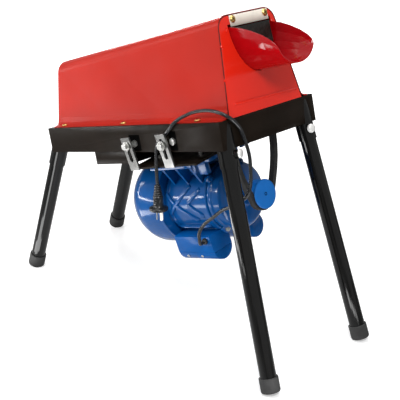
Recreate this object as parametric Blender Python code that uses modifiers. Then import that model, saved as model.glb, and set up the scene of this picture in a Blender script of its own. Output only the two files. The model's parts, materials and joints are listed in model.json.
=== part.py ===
"""Electric corn thresher: a sheet-metal hood over a toothed drum, on a sloping rack with four tube legs.

The frame is +Z up with the floor at Z = 0. X runs from the cob outlet to the feed end and -Y is the
front. The rack slopes, so most pieces are modelled in the rack's own frame (the empty rack_frame),
whose origin is the centre of the rack's top face. The motor and its plate hang in a second frame,
motor_hinge, whose X axis is the hinge that sets the belt's tension.
"""

from math import asin, atan, cos, pi, radians, sin, sqrt, tan

import bmesh
import bpy
from mathutils import Matrix, Vector

GAP = 0.0003                 # between pieces that touch
PAST = 0.01                  # how far a cutter runs past the wall that it cuts

# Rack
RACK_LENGTH, RACK_WIDTH, RACK_DEPTH = 0.530, 0.269, 0.0535
RACK_SHEET = 0.003
LEDGE = 0.030                # width of the top flange that carries the hood
RACK_TILT = radians(14.76)   # feed end up
RACK_HEIGHT = 0.430          # floor to the centre of the rack's top face
WINDOWS = ((0.0045, 0.0380, 0.019), (0.1245, 0.1450, 0.013))   # in the front side: start, end, depth of top
WINDOW_MARGIN = 0.002        # rack below each window
BACKING_START, BACKING_END, BACKING_TOP = -0.020, 0.165, 0.008

# Legs, their sockets and caps
LEG_RADIUS, LEG_WALL = 0.016, 0.0016
SOCKET_WALL, SOCKET_DROP, LEG_OVERLAP = 0.0018, 0.035, 0.068
CAP_RADIUS, CAP_COVER, CAP_FLOOR = 0.019, 0.030, 0.004
SOLE_DEPTH = 0.0025          # how far the floor flattens a cap's rim
LEG_INSET_Y = 0.0217         # from the rack's side to the leg's axis, at the rack's lower edge
FEED_LEG_INSET, OUTLET_LEG_INSET = 0.0142, -0.0036
SPLAYS = {                   # each leg's slope away from the rack, along X and along Y
    "front_feed": (0.0858, 0.0642), "rear_feed": (0.0858, 0.0642),
    "front_outlet": (0.6051, 0.0642), "rear_outlet": (0.7850, 0.1720),
}
CLAMP_RADIUS, CLAMP_HEAD, CLAMP_NUT = 0.004, 0.0068, 0.0085
CLAMP_DROP = 0.0125          # clamp bolt below the rack's lower edge, along the leg
CLAMP_TURNS = {"feed": radians(20), "outlet": radians(60)}   # bolts turned inwards from the rack's ends

# Hood and end caps
SHEET = 0.0014
HOOD_START, HOOD_END = -0.2600, 0.2650   # along the rack, at its top face
END_LEAN = radians(5.5)      # the feed end cap leans back by this
HOOD_OFFSET = -0.0022        # of the hood's middle from the rack's
HOOD_HALF_BASE, HOOD_HALF_TOP = 0.1044, 0.0752
HOOD_HEIGHT_OUTLET, HOOD_HEIGHT_FEED = 0.1346, 0.1845
HOOD_CORNER = 0.0278
HOOD_FLANGE, HOOD_STEP = 0.0244, 0.010   # flange width, and the height at which HOOD_HALF_BASE holds
FLARE = 0.017                # the side curves out into the flange below this height
CAP_LIP, CAP_SHEET, CAP_PROUD = 0.019, 0.0018, 0.0015   # the end caps' turned rim, inside the hood
OUTLET_HALF_WIDTH, OUTLET_LOW, OUTLET_HIGH = 0.052, 0.040, 0.112
SCREW_HEAD, SCREW_HEAD_HEIGHT = 0.0050, 0.0030
HOOD_SCREW_PLACES = (-0.2187, -0.0190, 0.1977)
HOOD_SCREW_INSET = 0.0093    # from the flange's edge

# Scoop, a trough that runs through the feed end cap
SCOOP_SHEET = 0.0016
SCOOP_PLATE, SCOOP_OUT = 0.255, 0.356
SCOOP_HALF_WIDTH, SCOOP_HALF_TIP = 0.057, 0.050
SCOOP_BOTTOM, SCOOP_BOTTOM_TIP = 0.0725, 0.0805
SCOOP_TOP, SCOOP_TOP_TIP = 0.158, 0.121
SCOOP_OFFSET, SCOOP_ROLL = 0.003, 0.05    # its middle from the rack's, and how its rear edge dips
SCOOP_STATIONS = ((0.188, 0), (0.255, 0), (0.278, 0), (0.301, 0), (0.324, 0), (0.342, 0.04), (0.352, 0.13), (0.356, 0.28))

# Brush over the feed opening, in the end cap's own plane
STRIP_WIDTH, STRIP_HEIGHT, STRIP_BASE, STRIP_SHEET = 0.1046, 0.0205, 0.1618, 0.0015
STRIP_OFFSET = 0.0057        # of the strip's middle from the hood's
STRIP_SCREW_OUT, STRIP_SCREW_UP = 0.0446, 0.0130
BRUSH_WIDTH, BRUSH_LENGTH, BRUSH_DEPTH = 0.098, 0.042, 0.005

# Drum and its drive
DRUM_AXIS_Z = -0.002
DRUM_START, DRUM_END, DRUM_RADIUS = -0.205, 0.166, 0.025
TOOTH_RADIUS, TOOTH_REACH, TOOTH_ROWS, TEETH_PER_ROW = 0.0055, 0.041, 4, 8
SHAFT_RADIUS, SHAFT_START, SHAFT_END = 0.010, -0.2335, 0.224
TROUGH_RADIUS, TROUGH_SHEET, TROUGH_SLOTS, SLOT_LENGTH = 0.0475, 0.0016, 5, 0.009
BEARER_SHEET, BEARER_FEED_X, BEARER_OUTLET_X = 0.004, 0.178, -0.2335
BEARER_HALF_WIDTH, BEARER_TOP, BEARER_BOTTOM = 0.036, 0.034, -0.034
BEARING_RADIUS, BEARING_LENGTH, RUNNING = 0.024, 0.014, 0.0003
BELT_WIDTH, BELT_THICKNESS, BELT_BOW = 0.0125, 0.0095, 0.014
DRUM_PULLEY_RADIUS, MOTOR_PULLEY_RADIUS = 0.060, 0.0295
PULLEY_WIDTH, GROOVE_WIDTH, GROOVE_DEPTH = 0.0215, 0.0172, 0.0074
BELT_PROUD = 0.0030          # belt's back beyond the pulleys' rims

# Kernel chute under the drum
CHUTE_START, CHUTE_END, CHUTE_DROP, CHUTE_RISE, CHUTE_SHEET = -0.124, -0.006, 0.0285, 0.012, 0.0015

# Motor unit, in the frame of its hinge
HINGE_X, HINGE_Y, HINGE_Z = 0.040, 0.105, -0.052
PLATE_SLOPE, PLATE_ROLL = radians(8), radians(3.3)
PLATE_START, PLATE_END, PLATE_REACH, PLATE_SHEET = -0.0445, 0.148, 0.2435, 0.004
KNUCKLE_RADIUS, PIN_RADIUS, LUG_SHEET, KNUCKLE_LENGTH = 0.0065, 0.003, 0.008, 0.030
LUG_PLACES = ((-0.020, 1), (0.110, -1))   # each lug's start, and the side of it that the knuckle is on
EAR_SHEET, EAR_WIDTH, EAR_HEIGHT = 0.003, 0.026, 0.0665
EAR_MIDDLES = (-0.0305, 0.0750)
EAR_SLOT_LOW, EAR_SLOT_HIGH, EAR_SLOT_WIDTH = 0.0150, 0.0580, 0.0100
TENSION_BOLT_Z, TENSION_BOLT_OUT = -0.0390, 0.0153
MOTOR_Y, MOTOR_Z = -0.122, -0.113
MOTOR_RADIUS, COVER_RADIUS, CORE_RADIUS = 0.072, 0.094, 0.036
FACE_X = 0.176               # outer face of the motor pulley
BELL_START, BELL_END = 0.082, 0.116
BODY_START, REAR_BELL_LENGTH = -0.037, 0.010
COVER_SHEET, COVER_ROUND = 0.0020, 0.062   # the cover's domed end is this deep
COVER_TIP = -0.160
MOTOR_SHAFT = 0.008
FOOT_START, FOOT_END, FOOT_HALF_SPAN, FOOT_WIDTH, FOOT_SHEET = -0.030, 0.142, 0.083, 0.028, 0.008
FOOT_BOLT_PLACES = (-0.010, 0.110)
CAN_START, CAN_END, CAN_RADIUS, CAN_DISTANCE, CAN_ANGLE = -0.034, 0.072, 0.0270, 0.104, radians(-33)
REAR_CAN_START, REAR_CAN_END, REAR_CAN_RADIUS, REAR_CAN_DISTANCE = -0.030, 0.072, 0.0255, 0.1
REAR_CAN_ANGLE = radians(28)
LID_SHARE = 0.15             # the lid's seam, as a share of the can's radius below its axis
GROMMET_X, GROMMET_RADIUS, GROMMET_LENGTH = 0.057, 0.0065, 0.008
GROMMET_UP = 0.023           # above the box's middle

# Power cord: its route in the rack's frame
CORD_RADIUS = 0.0035
CORD_STEP = 0.014            # between the points of the finished line
CORD_ROUTE = (
    (0.1156, -0.0955, -0.2421), (0.1181, -0.0965, -0.2312), (0.1280, -0.0955, -0.2174),
    (0.1438, -0.0945, -0.2051), (0.1618, -0.0940, -0.1958), (0.1924, -0.0940, -0.1790), (0.2100, -0.0940, -0.1733),
    (0.2303, -0.0940, -0.1656), (0.2533, -0.0940, -0.1559), (0.2680, -0.0945, -0.1450),
    (0.2720, -0.0894, -0.1334), (0.2720, -0.0830, -0.1160), (0.2720, -0.0794, -0.0977),
    (0.2720, -0.0773, -0.0830), (0.2720, -0.0772, -0.0678), (0.2720, -0.0796, -0.0559),
    (0.2720, -0.0825, -0.0420), (0.2720, -0.0862, -0.0289), (0.2722, -0.0916, -0.0174),
    (0.2724, -0.1010, -0.0060), (0.2715, -0.1110, 0.0040), (0.2660, -0.1180, 0.0110),
    (0.2560, -0.1210, 0.0160), (0.2400, -0.1225, 0.0200), (0.2220, -0.1230, 0.0213),
    (0.2010, -0.1240, 0.0203), (0.1820, -0.1265, 0.0170), (0.1680, -0.1305, 0.0120),
    (0.1545, -0.1355, 0.0065), (0.1430, -0.1393, -0.0025), (0.1300, -0.1393, -0.0127),
    (0.1090, -0.1385, -0.0250), (0.0970, -0.1383, -0.0330), (0.0885, -0.1387, -0.0450),
    (0.0843, -0.1396, -0.0600), (0.0795, -0.1400, -0.0800), (0.0722, -0.1400, -0.1180),
)
PLUG_RELIEF, PLUG_BODY, PLUG_FLANGE, PLUG_PINS = 0.022, 0.024, 0.007, 0.020

STORE = bpy.data.objects
PARTS = None                 # the two collections, set by start()
CUTTERS = None


# ---------------------------------------------------------------- scene and helpers

def start():
    """Clear the scene and make the collections."""
    for old in list(STORE):
        STORE.remove(old, do_unlink=True)
    made = []
    for name in ("corn_thresher", "cutters"):
        collection = bpy.data.collections.new(name)
        bpy.context.scene.collection.children.link(collection)
        made.append(collection)
    return made


def material(name, colour, roughness, metallic=0.0):
    made = bpy.data.materials.new(name)
    made.use_nodes = True
    shader = made.node_tree.nodes["Principled BSDF"]
    shader.inputs["Base Color"].default_value = (*colour, 1.0)
    shader.inputs["Roughness"].default_value = roughness
    shader.inputs["Metallic"].default_value = metallic
    made.diffuse_color = (*colour, 1.0)
    return made


def empty(name, parent, matrix):
    """A frame: +Z up in its own sense, placed in its parent's frame."""
    made = STORE.new(name, None)
    made.empty_display_size = 0.03
    made.parent = parent
    made.matrix_basis = matrix
    PARTS.objects.link(made)
    return made


def place(name, data, parent, finish=None, smooth=None):
    """A named object; with no finish it is a cutter."""
    made = STORE.new(name, data)
    made.parent = parent
    (PARTS if finish else CUTTERS).objects.link(made)
    if finish:
        data.materials.append(finish)
    else:
        made.hide_render = True
        made.display_type = "WIRE"
    if smooth is not None:
        data.shade_smooth()
        data.set_sharp_from_angle(angle=radians(smooth))
    return made


def mesh_of(name, bm):
    bmesh.ops.recalc_face_normals(bm, faces=bm.faces)
    mesh = bpy.data.meshes.new(name)
    bm.to_mesh(mesh)
    bm.free()
    return mesh


def block(name, low, high, parent, finish=None, bevel=0.0):
    bm = bmesh.new()
    bmesh.ops.create_cube(bm, size=1.0)
    for vert in bm.verts:
        vert.co = Vector(low[i] + (vert.co[i] + 0.5) * (high[i] - low[i]) for i in range(3))
    made = place(name, mesh_of(name, bm), parent, finish)
    if bevel:
        edge = made.modifiers.new("edges", "BEVEL")
        edge.width = bevel
        edge.segments = 2
    return made


def rod(name, begin, end, radius, parent, finish=None, sides=24, end_radius=None):
    """A cylinder, cone or hexagon between two points."""
    begin, end = Vector(begin), Vector(end)
    bm = bmesh.new()
    bmesh.ops.create_cone(
        bm, cap_ends=True, segments=sides, radius1=radius,
        radius2=radius if end_radius is None else end_radius, depth=(end - begin).length)
    turn = (end - begin).to_track_quat("Z", "Y").to_matrix().to_4x4()
    bmesh.ops.transform(bm, matrix=Matrix.Translation((begin + end) / 2) @ turn, verts=bm.verts)
    return place(name, mesh_of(name, bm), parent, finish, 40)


def prism(name, rings, parent, finish=None, smooth=None):
    """A solid through rings that have the same number of points."""
    bm = bmesh.new()
    loops = [[bm.verts.new(point) for point in ring] for ring in rings]
    count = len(rings[0])
    for one, two in zip(loops, loops[1:]):
        for i in range(count):
            bm.faces.new((one[i], one[(i + 1) % count], two[(i + 1) % count], two[i]))
    bm.faces.new(loops[0])
    bm.faces.new(loops[-1])
    bmesh.ops.triangulate(bm, faces=bm.faces)
    return place(name, mesh_of(name, bm), parent, finish, smooth)


def offset_line(line, distance):
    """An open line of (y, z) moved to its right, as it runs, with mitred corners."""
    ways = [Vector((b[0] - a[0], b[1] - a[1])).normalized() for a, b in zip(line, line[1:])]
    moved = []
    for i, point in enumerate(line):
        one, two = ways[max(i - 1, 0)], ways[min(i, len(ways) - 1)]
        mean = (one + two).normalized()
        reach = distance / max(mean.dot(one), 0.3)
        moved.append((point[0] + mean.y * reach, point[1] - mean.x * reach))
    return moved


def sheet(name, stations, thickness, parent, finish, smooth=40):
    """A bent sheet: (x, lean, line of (y, z)) at each station, thickened to the line's right."""
    bm = bmesh.new()
    grids = []
    for distance in (0.0, thickness):
        grids.append([[bm.verts.new((x - z * tan(lean), y, z)) for y, z in offset_line(line, distance)]
                      for x, lean, line in stations])
    for grid in grids:
        for one, two in zip(grid, grid[1:]):
            for i in range(len(one) - 1):
                bm.faces.new((one[i], one[i + 1], two[i + 1], two[i]))
    near, far = grids
    for i in (0, -1):
        for j in range(len(near[0]) - 1):
            bm.faces.new((near[i][j], near[i][j + 1], far[i][j + 1], far[i][j]))
        for j in range(len(near) - 1):
            bm.faces.new((near[j][i], near[j + 1][i], far[j + 1][i], far[j][i]))
    bmesh.ops.triangulate(bm, faces=bm.faces)
    return place(name, mesh_of(name, bm), parent, finish, smooth)


def turned(name, profile, parent, finish=None, steps=32):
    """A closed (radius, height) profile turned about the parent's Z axis by a Screw."""
    area = sum(r1 * z2 - r2 * z1 for (r1, z1), (r2, z2) in zip(profile, profile[1:] + profile[:1]))
    if area > 0:             # a Screw's profile runs down its outer side
        profile = profile[::-1]
    mesh = bpy.data.meshes.new(name)
    count = len(profile)
    mesh.from_pydata([(r, 0, z) for r, z in profile], [(i, (i + 1) % count) for i in range(count)], [])
    made = place(name, mesh, parent, finish)
    screw = made.modifiers.new("turn", "SCREW")
    screw.steps = screw.render_steps = steps
    screw.use_merge_vertices = True
    screw.merge_threshold = 1e-5
    return made


def outline(name, loops, half, parent, finish=None):
    """A flat plate: closed loops of (x, y), the first outside, thickened both ways along Z."""
    curve = bpy.data.curves.new(name, "CURVE")
    curve.dimensions = "2D"
    curve.fill_mode = "BOTH"
    curve.extrude = half
    for loop in loops:
        spline = curve.splines.new("POLY")
        spline.points.add(len(loop) - 1)
        spline.use_cyclic_u = True
        for point, (x, y) in zip(spline.points, loop):
            point.co = (x, y, 0, 1)
    return place(name, curve, parent, finish)


def arc(centre, radius, begin, end, count):
    """Points on an arc, its angles in degrees, both ends included."""
    angles = [radians(begin + (end - begin) * i / (count - 1)) for i in range(count)]
    return [(centre[0] + radius * cos(a), centre[1] + radius * sin(a)) for a in angles]


def stadium(length, width, count=7):
    """A slot's outline along X, round at both ends."""
    half = (length - width) / 2
    return arc((half, 0), width / 2, -90, 90, count) + arc((-half, 0), width / 2, 90, 270, count)


def bake(made):
    """Replace an object's mesh by what its modifiers make of it, with its faces pointing out."""
    graph = bpy.context.evaluated_depsgraph_get()
    mesh = bpy.data.meshes.new_from_object(made.evaluated_get(graph))
    bm = bmesh.new()
    bm.from_mesh(mesh)
    bmesh.ops.remove_doubles(bm, verts=bm.verts, dist=1e-6)
    bmesh.ops.recalc_face_normals(bm, faces=bm.faces)
    bm.to_mesh(mesh)
    bm.free()
    made.modifiers.clear()
    made.data = mesh
    return made


def boolean(made, other, operation="DIFFERENCE"):
    change = made.modifiers.new(other.name, "BOOLEAN")
    change.operation = operation
    change.object = other
    return made


def join(made, *others):
    """One body of several closed solids that overlap."""
    for other in others:
        boolean(made, other, "UNION")
    return made


def cut(made, *others):
    for other in others:
        boolean(made, other)
    return made


# ---------------------------------------------------------------- frames

def leg_frames(rack):
    """One frame for each leg: origin on its axis at the rack's lower edge, +Z up the leg, +X to its bolt."""
    made = {}
    for end, sign, inset in (("feed", 1, FEED_LEG_INSET), ("outlet", -1, OUTLET_LEG_INSET)):
        for side, way in (("front", -1), ("rear", 1)):
            name = f"{side}_{end}"
            splay_x, splay_y = SPLAYS[name]
            up = Vector((-sign * splay_x, -way * splay_y, 1)).normalized()
            toward = Vector((sign * cos(CLAMP_TURNS[end]), -way * sin(CLAMP_TURNS[end]), 0))
            across = up.cross(toward).normalized()
            turn = Matrix((across.cross(up), across, up)).transposed().to_4x4()
            origin = Vector((sign * (RACK_LENGTH / 2 - inset), way * (RACK_WIDTH / 2 - LEG_INSET_Y), -RACK_DEPTH))
            made[name] = empty(f"leg_frame_{name}", rack, Matrix.Translation(origin) @ turn)
    return made


def leg_reach(rack_matrix, frame):
    """How far below its frame a leg's cap ends, that end, and its rim's reach along X and Y."""
    world = rack_matrix @ frame.matrix_basis
    up = world.to_3x3() @ Vector((0, 0, 1))
    bottom = CAP_RADIUS * sqrt(1 - up.z ** 2) - SOLE_DEPTH
    reach = (world.translation.z - bottom) / up.z
    rim = [CAP_RADIUS * sqrt(1 - up[i] ** 2) for i in (0, 1)]
    return reach, world.translation - up * reach, rim


def frames():
    """All the empties, and each leg's reach. The feet are centred on the floor's origin."""
    tilt = Matrix.Rotation(-RACK_TILT, 4, "Y")
    rack = empty("rack_frame", None, Matrix.Translation((0, 0, RACK_HEIGHT)) @ tilt)
    legs = leg_frames(rack)
    reaches = {name: leg_reach(rack.matrix_basis, frame) for name, frame in legs.items()}
    for i in (0, 1):
        ends = [end[i] + way * rim[i] for _, end, rim in reaches.values() for way in (-1, 1)]
        rack.location[i] = -(max(ends) + min(ends)) / 2
    drum = empty("drum_axis", rack, Matrix.Translation((0, 0, DRUM_AXIS_Z)) @ Matrix.Rotation(pi / 2, 4, "Y"))
    turn = Matrix.Rotation(-PLATE_ROLL, 4, "Y") @ Matrix.Rotation(PLATE_SLOPE, 4, "X")
    hinge = empty("motor_hinge", rack, Matrix.Translation((HINGE_X, HINGE_Y, HINGE_Z)) @ turn)
    motor = empty("motor_axis", hinge,
                  Matrix.Translation((0, MOTOR_Y, MOTOR_Z)) @ Matrix.Rotation(pi / 2, 4, "Y"))
    lean = Matrix.Translation((HOOD_END, HOOD_OFFSET, 0)) @ Matrix.Rotation(-END_LEAN, 4, "Y")
    cap = empty("feed_end", rack, lean)
    pivot = empty("brush_pivot", cap, Matrix.Translation(
        (CAP_PROUD + GAP + BRUSH_DEPTH / 2, STRIP_OFFSET, STRIP_BASE - GAP - BRUSH_DEPTH / 2)))
    return dict(rack=rack, drum=drum, hinge=hinge, motor=motor, cap=cap, brush=pivot), legs, reaches


# ---------------------------------------------------------------- rack and legs

def make_rack(at, legs, steel):
    """Four apron sides with a top ledge, two bearer plates for the drum, a backing strip and hinge lugs."""
    rack = at["rack"]
    half_x, half_y = RACK_LENGTH / 2, RACK_WIDTH / 2
    body = block("rack", (-half_x, -half_y, -RACK_DEPTH), (half_x, half_y, 0), rack, steel)
    inner_x, inner_y = half_x - RACK_SHEET, half_y - RACK_SHEET
    cut(body,
        block("rack_inside", (-inner_x, -inner_y, -RACK_DEPTH - PAST), (inner_x, inner_y, -RACK_SHEET), rack),
        block("rack_top", (LEDGE - half_x, LEDGE - half_y, -RACK_DEPTH), (half_x - LEDGE, half_y - LEDGE, PAST), rack))
    backing = block("rack_backing", (BACKING_START, -inner_y - RACK_SHEET / 2, -RACK_DEPTH),
                    (BACKING_END, -inner_y + RACK_SHEET, -BACKING_TOP), rack)
    join(body, backing)
    for name, x in (("feed", BEARER_FEED_X), ("outlet", BEARER_OUTLET_X)):
        low, high = BEARER_BOTTOM, -RACK_SHEET / 2
        bearer = block(f"bearer_{name}", (x, -inner_y - RACK_SHEET / 2, low),
                       (x + BEARER_SHEET, inner_y + RACK_SHEET / 2, high), rack)
        tab = block(f"bearer_tab_{name}", (x, -BEARER_HALF_WIDTH, high - PAST),
                    (x + BEARER_SHEET, BEARER_HALF_WIDTH, BEARER_TOP), rack)
        hole = rod(f"bearer_hole_{name}", (x - PAST, 0, DRUM_AXIS_Z), (x + BEARER_SHEET + PAST, 0, DRUM_AXIS_Z),
                   SHAFT_RADIUS + RACK_SHEET, rack)
        join(body, bearer, tab)
        cut(body, hole)
    for i, (x, _) in enumerate(LUG_PLACES):
        lug = block(f"hinge_lug_{i}", (x, -KNUCKLE_RADIUS, -KNUCKLE_RADIUS),
                    (x + LUG_SHEET, half_y - HINGE_Y - RACK_SHEET / 2, KNUCKLE_RADIUS), at["hinge"])
        hole = rod(f"hinge_lug_hole_{i}", (x - PAST, 0, 0), (x + LUG_SHEET + PAST, 0, 0),
                   PIN_RADIUS + GAP, at["hinge"], sides=16)
        join(body, lug)
        cut(body, hole)
    for i, (begin, end, top) in enumerate(WINDOWS):
        cut(body, block(f"window_{i}", (begin, -half_y - PAST, WINDOW_MARGIN - RACK_DEPTH),
                        (end, -inner_y - GAP, -top), rack, bevel=0.002))
    for name, frame in legs.items():
        cut(body, rod(f"socket_seat_{name}", (0, 0, -RACK_DEPTH), (0, 0, 2 * RACK_DEPTH),
                      LEG_RADIUS + 2 * GAP + SOCKET_WALL, frame, sides=32))
    return body


def make_socket(name, frame, rack, steel):
    """A short tube in the rack's corner, with a welded nut on its outer side."""
    bore, outside = LEG_RADIUS + GAP, LEG_RADIUS + GAP + SOCKET_WALL
    socket = bake(turned(f"socket_{name}", [(bore, -SOCKET_DROP), (outside, -SOCKET_DROP),
                                            (outside, 2 * RACK_DEPTH), (bore, 2 * RACK_DEPTH)], frame, steel))
    nut_end = outside + CLAMP_NUT * 0.6
    nut = rod(f"socket_nut_{name}", (outside - SOCKET_WALL / 2, 0, -CLAMP_DROP), (nut_end, 0, -CLAMP_DROP),
              CLAMP_NUT, frame, sides=6)
    hole = rod(f"socket_hole_{name}", (0, 0, -CLAMP_DROP), (nut_end + PAST, 0, -CLAMP_DROP),
               CLAMP_RADIUS + GAP, frame, sides=16)
    above = block(f"socket_trim_{name}", (-RACK_LENGTH, -RACK_WIDTH, -RACK_SHEET - GAP),
                  (RACK_LENGTH, RACK_WIDTH, RACK_LENGTH), rack)
    cut(join(socket, nut), hole, above)
    return nut_end


def make_leg(name, frame, rack, reach, nut_end, finishes):
    """The tube, its rubber cap, flattened where the floor meets it, and the bolt that clamps the tube."""
    black, rubber, zinc = finishes
    inside = LEG_RADIUS - LEG_WALL
    foot = CAP_FLOOR + GAP - reach
    top = LEG_OVERLAP - SOCKET_DROP
    tube = bake(turned(f"leg_{name}", [(inside, foot), (LEG_RADIUS, foot), (LEG_RADIUS, top), (inside, top)],
                       frame, black))
    cut(tube, block(f"leg_trim_{name}", (-RACK_LENGTH, -RACK_WIDTH, -RACK_SHEET - 2 * GAP),
                    (RACK_LENGTH, RACK_WIDTH, RACK_LENGTH), rack))
    bore, round_edge = LEG_RADIUS + GAP, 0.003
    profile = [(0, -reach), (CAP_RADIUS - round_edge, -reach), (CAP_RADIUS - round_edge * 0.3, -reach + round_edge * 0.3),
               (CAP_RADIUS, -reach + round_edge), (CAP_RADIUS, CAP_COVER - reach - 0.001),
               (CAP_RADIUS - 0.001, CAP_COVER - reach), (bore, CAP_COVER - reach),
               (bore, CAP_FLOOR - reach), (0, CAP_FLOOR - reach)]
    cap = bake(turned(f"foot_cap_{name}", profile, frame, rubber))
    cut(cap, block(f"floor_{name}", (-1, -1, -1), (1, 1, 0), None))
    head = nut_end + GAP + 0.0055
    shank = rod(f"clamp_shank_{name}", (LEG_RADIUS + GAP, 0, -CLAMP_DROP), (nut_end + 0.002, 0, -CLAMP_DROP),
                CLAMP_RADIUS, frame, sides=16)
    bolt = rod(f"clamp_bolt_{name}", (nut_end + GAP, 0, -CLAMP_DROP), (head, 0, -CLAMP_DROP),
               CLAMP_HEAD, frame, zinc, sides=6)
    join(bolt, shank)


# ---------------------------------------------------------------- hood

def hood_height(x):
    share = (x - HOOD_START) / (HOOD_END - HOOD_START)
    return HOOD_HEIGHT_OUTLET + share * (HOOD_HEIGHT_FEED - HOOD_HEIGHT_OUTLET)


def half_section(height, out=0.0, base=0.0, count=6):
    """The hood's outer line from base height to the middle of its top, as (y, z), grown outwards by out."""
    lean = atan((HOOD_HALF_BASE - HOOD_HALF_TOP) / (height - HOOD_STEP))
    turn = pi / 2 - lean
    back = HOOD_CORNER * tan(turn / 2)
    centre = (HOOD_HALF_TOP - back, height - HOOD_CORNER)
    radius = HOOD_CORNER + out
    slope = tan(lean)
    side = HOOD_HALF_BASE + out / cos(lean)
    points = [(side + (HOOD_STEP - base) * slope, base)]
    for i in range(count + 1):
        angle = lean + turn * i / count
        points.append((centre[0] + radius * cos(angle), centre[1] + radius * sin(angle)))
    return points


def full_section(height, out=0.0, base=0.0):
    half = half_section(height, out, base)
    return [(HOOD_OFFSET - y, z) for y, z in half] + [(HOOD_OFFSET + y, z) for y, z in reversed(half)]


def section_ring(x, out, base, lean=0.0):
    """The hood's closed section at x, leaning back with height."""
    return [(x - z * tan(lean), y, z) for y, z in full_section(hood_height(x), out, base)]


def make_hood(at, red):
    """One bent sheet, open below, whose sides flare into flanges that lie on the rack's ledge."""
    stations = []
    low = GAP + SHEET
    inset = 0.015            # the flanges stop short of the hood's ends
    for x, lean, wide in ((HOOD_START, 0, 0.3), (HOOD_START + inset, 0, 1), (-0.09, 0, 1), (0.09, 0, 1),
                          (HOOD_END - 0.006, END_LEAN, 1), (HOOD_END, END_LEAN, 0.7)):
        edge = HOOD_HALF_BASE + HOOD_FLANGE * wide
        bend = HOOD_HALF_BASE + HOOD_FLANGE * wide * 0.45
        foot = [(edge, low), (bend, low + 0.0012), (HOOD_HALF_BASE + 0.0035 * wide, low + 0.006)]
        half = foot + half_section(hood_height(x), 0.0, FLARE)
        line = [(HOOD_OFFSET - y, z) for y, z in half] + [(HOOD_OFFSET + y, z) for y, z in reversed(half)]
        stations.append((x, lean, line))
    return sheet("hood", stations, SHEET, at["rack"], red, smooth=30)


def make_end_cap(name, x, way, at, red, lean=0.0):
    """A pan in one end of the hood: a slightly proud face with a rim turned back along the hood's inside."""
    rack = at["rack"]
    base, skin, corner = 2 * GAP, -(SHEET + GAP), 0.003
    face, rim = x + way * CAP_PROUD, x - way * CAP_LIP
    outer = [section_ring(rim, skin, base, lean), section_ring(face - way * corner, skin, base, lean),
             section_ring(face - way * corner * 0.3, skin - corner * 0.3, base, lean),
             section_ring(face, skin - corner, base, lean)]
    pan = prism(name, outer, rack, red, 30)
    cut(pan, prism(f"{name}_inside", [section_ring(rim - way * PAST, skin - CAP_SHEET, -PAST, lean),
                                      section_ring(face - way * CAP_SHEET, skin - CAP_SHEET, -PAST, lean)], rack))
    return pan


def scoop_line(x, out=0.0, trim=0.0):
    """The trough's section at x: a half ellipse from the front top edge round to the rear one, cut by trim."""
    share = max(0.0, (x - SCOOP_PLATE) / (SCOOP_OUT - SCOOP_PLATE))
    half = SCOOP_HALF_WIDTH + share * (SCOOP_HALF_TIP - SCOOP_HALF_WIDTH)
    low = SCOOP_BOTTOM + share * (SCOOP_BOTTOM_TIP - SCOOP_BOTTOM)
    top = SCOOP_TOP + share ** 1.5 * (SCOOP_TOP_TIP - SCOOP_TOP)
    begin = asin(trim)
    angles = [begin + (pi - 2 * begin) * i / 14 for i in range(15)]
    return [(SCOOP_OFFSET - (half + out) * cos(a), top - (top - low + out) * sin(a) + SCOOP_ROLL * half * cos(a))
            for a in angles]


def make_scoop(at, red):
    """The feed trough: a half-round sheet through the end cap, shallower towards its rounded lip."""
    stations = [(x, 0, scoop_line(x, trim=trim)) for x, trim in SCOOP_STATIONS]
    return sheet("scoop", stations, SCOOP_SHEET, at["rack"], red)


def make_feed_end(at, red):
    """The feed end's cap, with a mouth that follows the scoop and a slit above it for the brush."""
    pan = make_end_cap("feed_end_cap", HOOD_END, 1, at, red, END_LEAN)
    line = scoop_line(SCOOP_PLATE, SCOOP_SHEET + 2 * GAP)
    lift = STRIP_BASE + 0.004
    loop = line[::-1] + [(line[0][0], lift), (line[-1][0], lift)]
    cut(pan, prism("feed_mouth", [[(x, y, z) for y, z in loop]
                                  for x in (HOOD_END - 4 * PAST, HOOD_END + PAST)], at["rack"]))


def make_outlet_end(at, red):
    """The low end's cap, with the opening through which bare cobs leave."""
    pan = make_end_cap("outlet_end_cap", HOOD_START, -1, at, red)
    cut(pan, block("outlet_mouth", (HOOD_START - 2 * PAST, HOOD_OFFSET - OUTLET_HALF_WIDTH, OUTLET_LOW),
                   (HOOD_START + PAST, HOOD_OFFSET + OUTLET_HALF_WIDTH, OUTLET_HIGH), at["rack"], bevel=0.008))


def screw(name, seat, way, parent, finish):
    """A round-headed screw whose head sits on the seat and faces way."""
    seat, way = Vector(seat), Vector(way).normalized()
    head = rod(name, seat + way * GAP, seat + way * (GAP + SCREW_HEAD_HEIGHT), SCREW_HEAD, parent, finish,
               sides=16, end_radius=SCREW_HEAD * 0.6)
    return head


def make_brush(at, finishes):
    """The bristle block, the strip that clamps it and the strip's two screws."""
    strip_finish, bristle, brass = finishes
    cap = at["cap"]
    outer = CAP_PROUD + GAP
    block("brush_strip", (outer, STRIP_OFFSET - STRIP_WIDTH / 2, STRIP_BASE),
          (outer + STRIP_SHEET, STRIP_OFFSET + STRIP_WIDTH / 2, STRIP_BASE + STRIP_HEIGHT), cap, strip_finish)
    for side, way in (("left", -1), ("right", 1)):
        screw(f"strip_screw_{side}", (outer + STRIP_SHEET, STRIP_OFFSET + way * STRIP_SCREW_OUT,
                                      STRIP_BASE + STRIP_SCREW_UP), (1, 0, 0), cap, brass)
    half, thin = BRUSH_WIDTH / 2, BRUSH_DEPTH / 2 - 0.0004
    brush = block("brush", (-thin, -half, -BRUSH_LENGTH), (thin, half, 0), at["brush"], bristle)
    join(brush, rod("brush_bead", (0, -half, 0), (0, half, 0), BRUSH_DEPTH / 2, at["brush"]))


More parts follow.
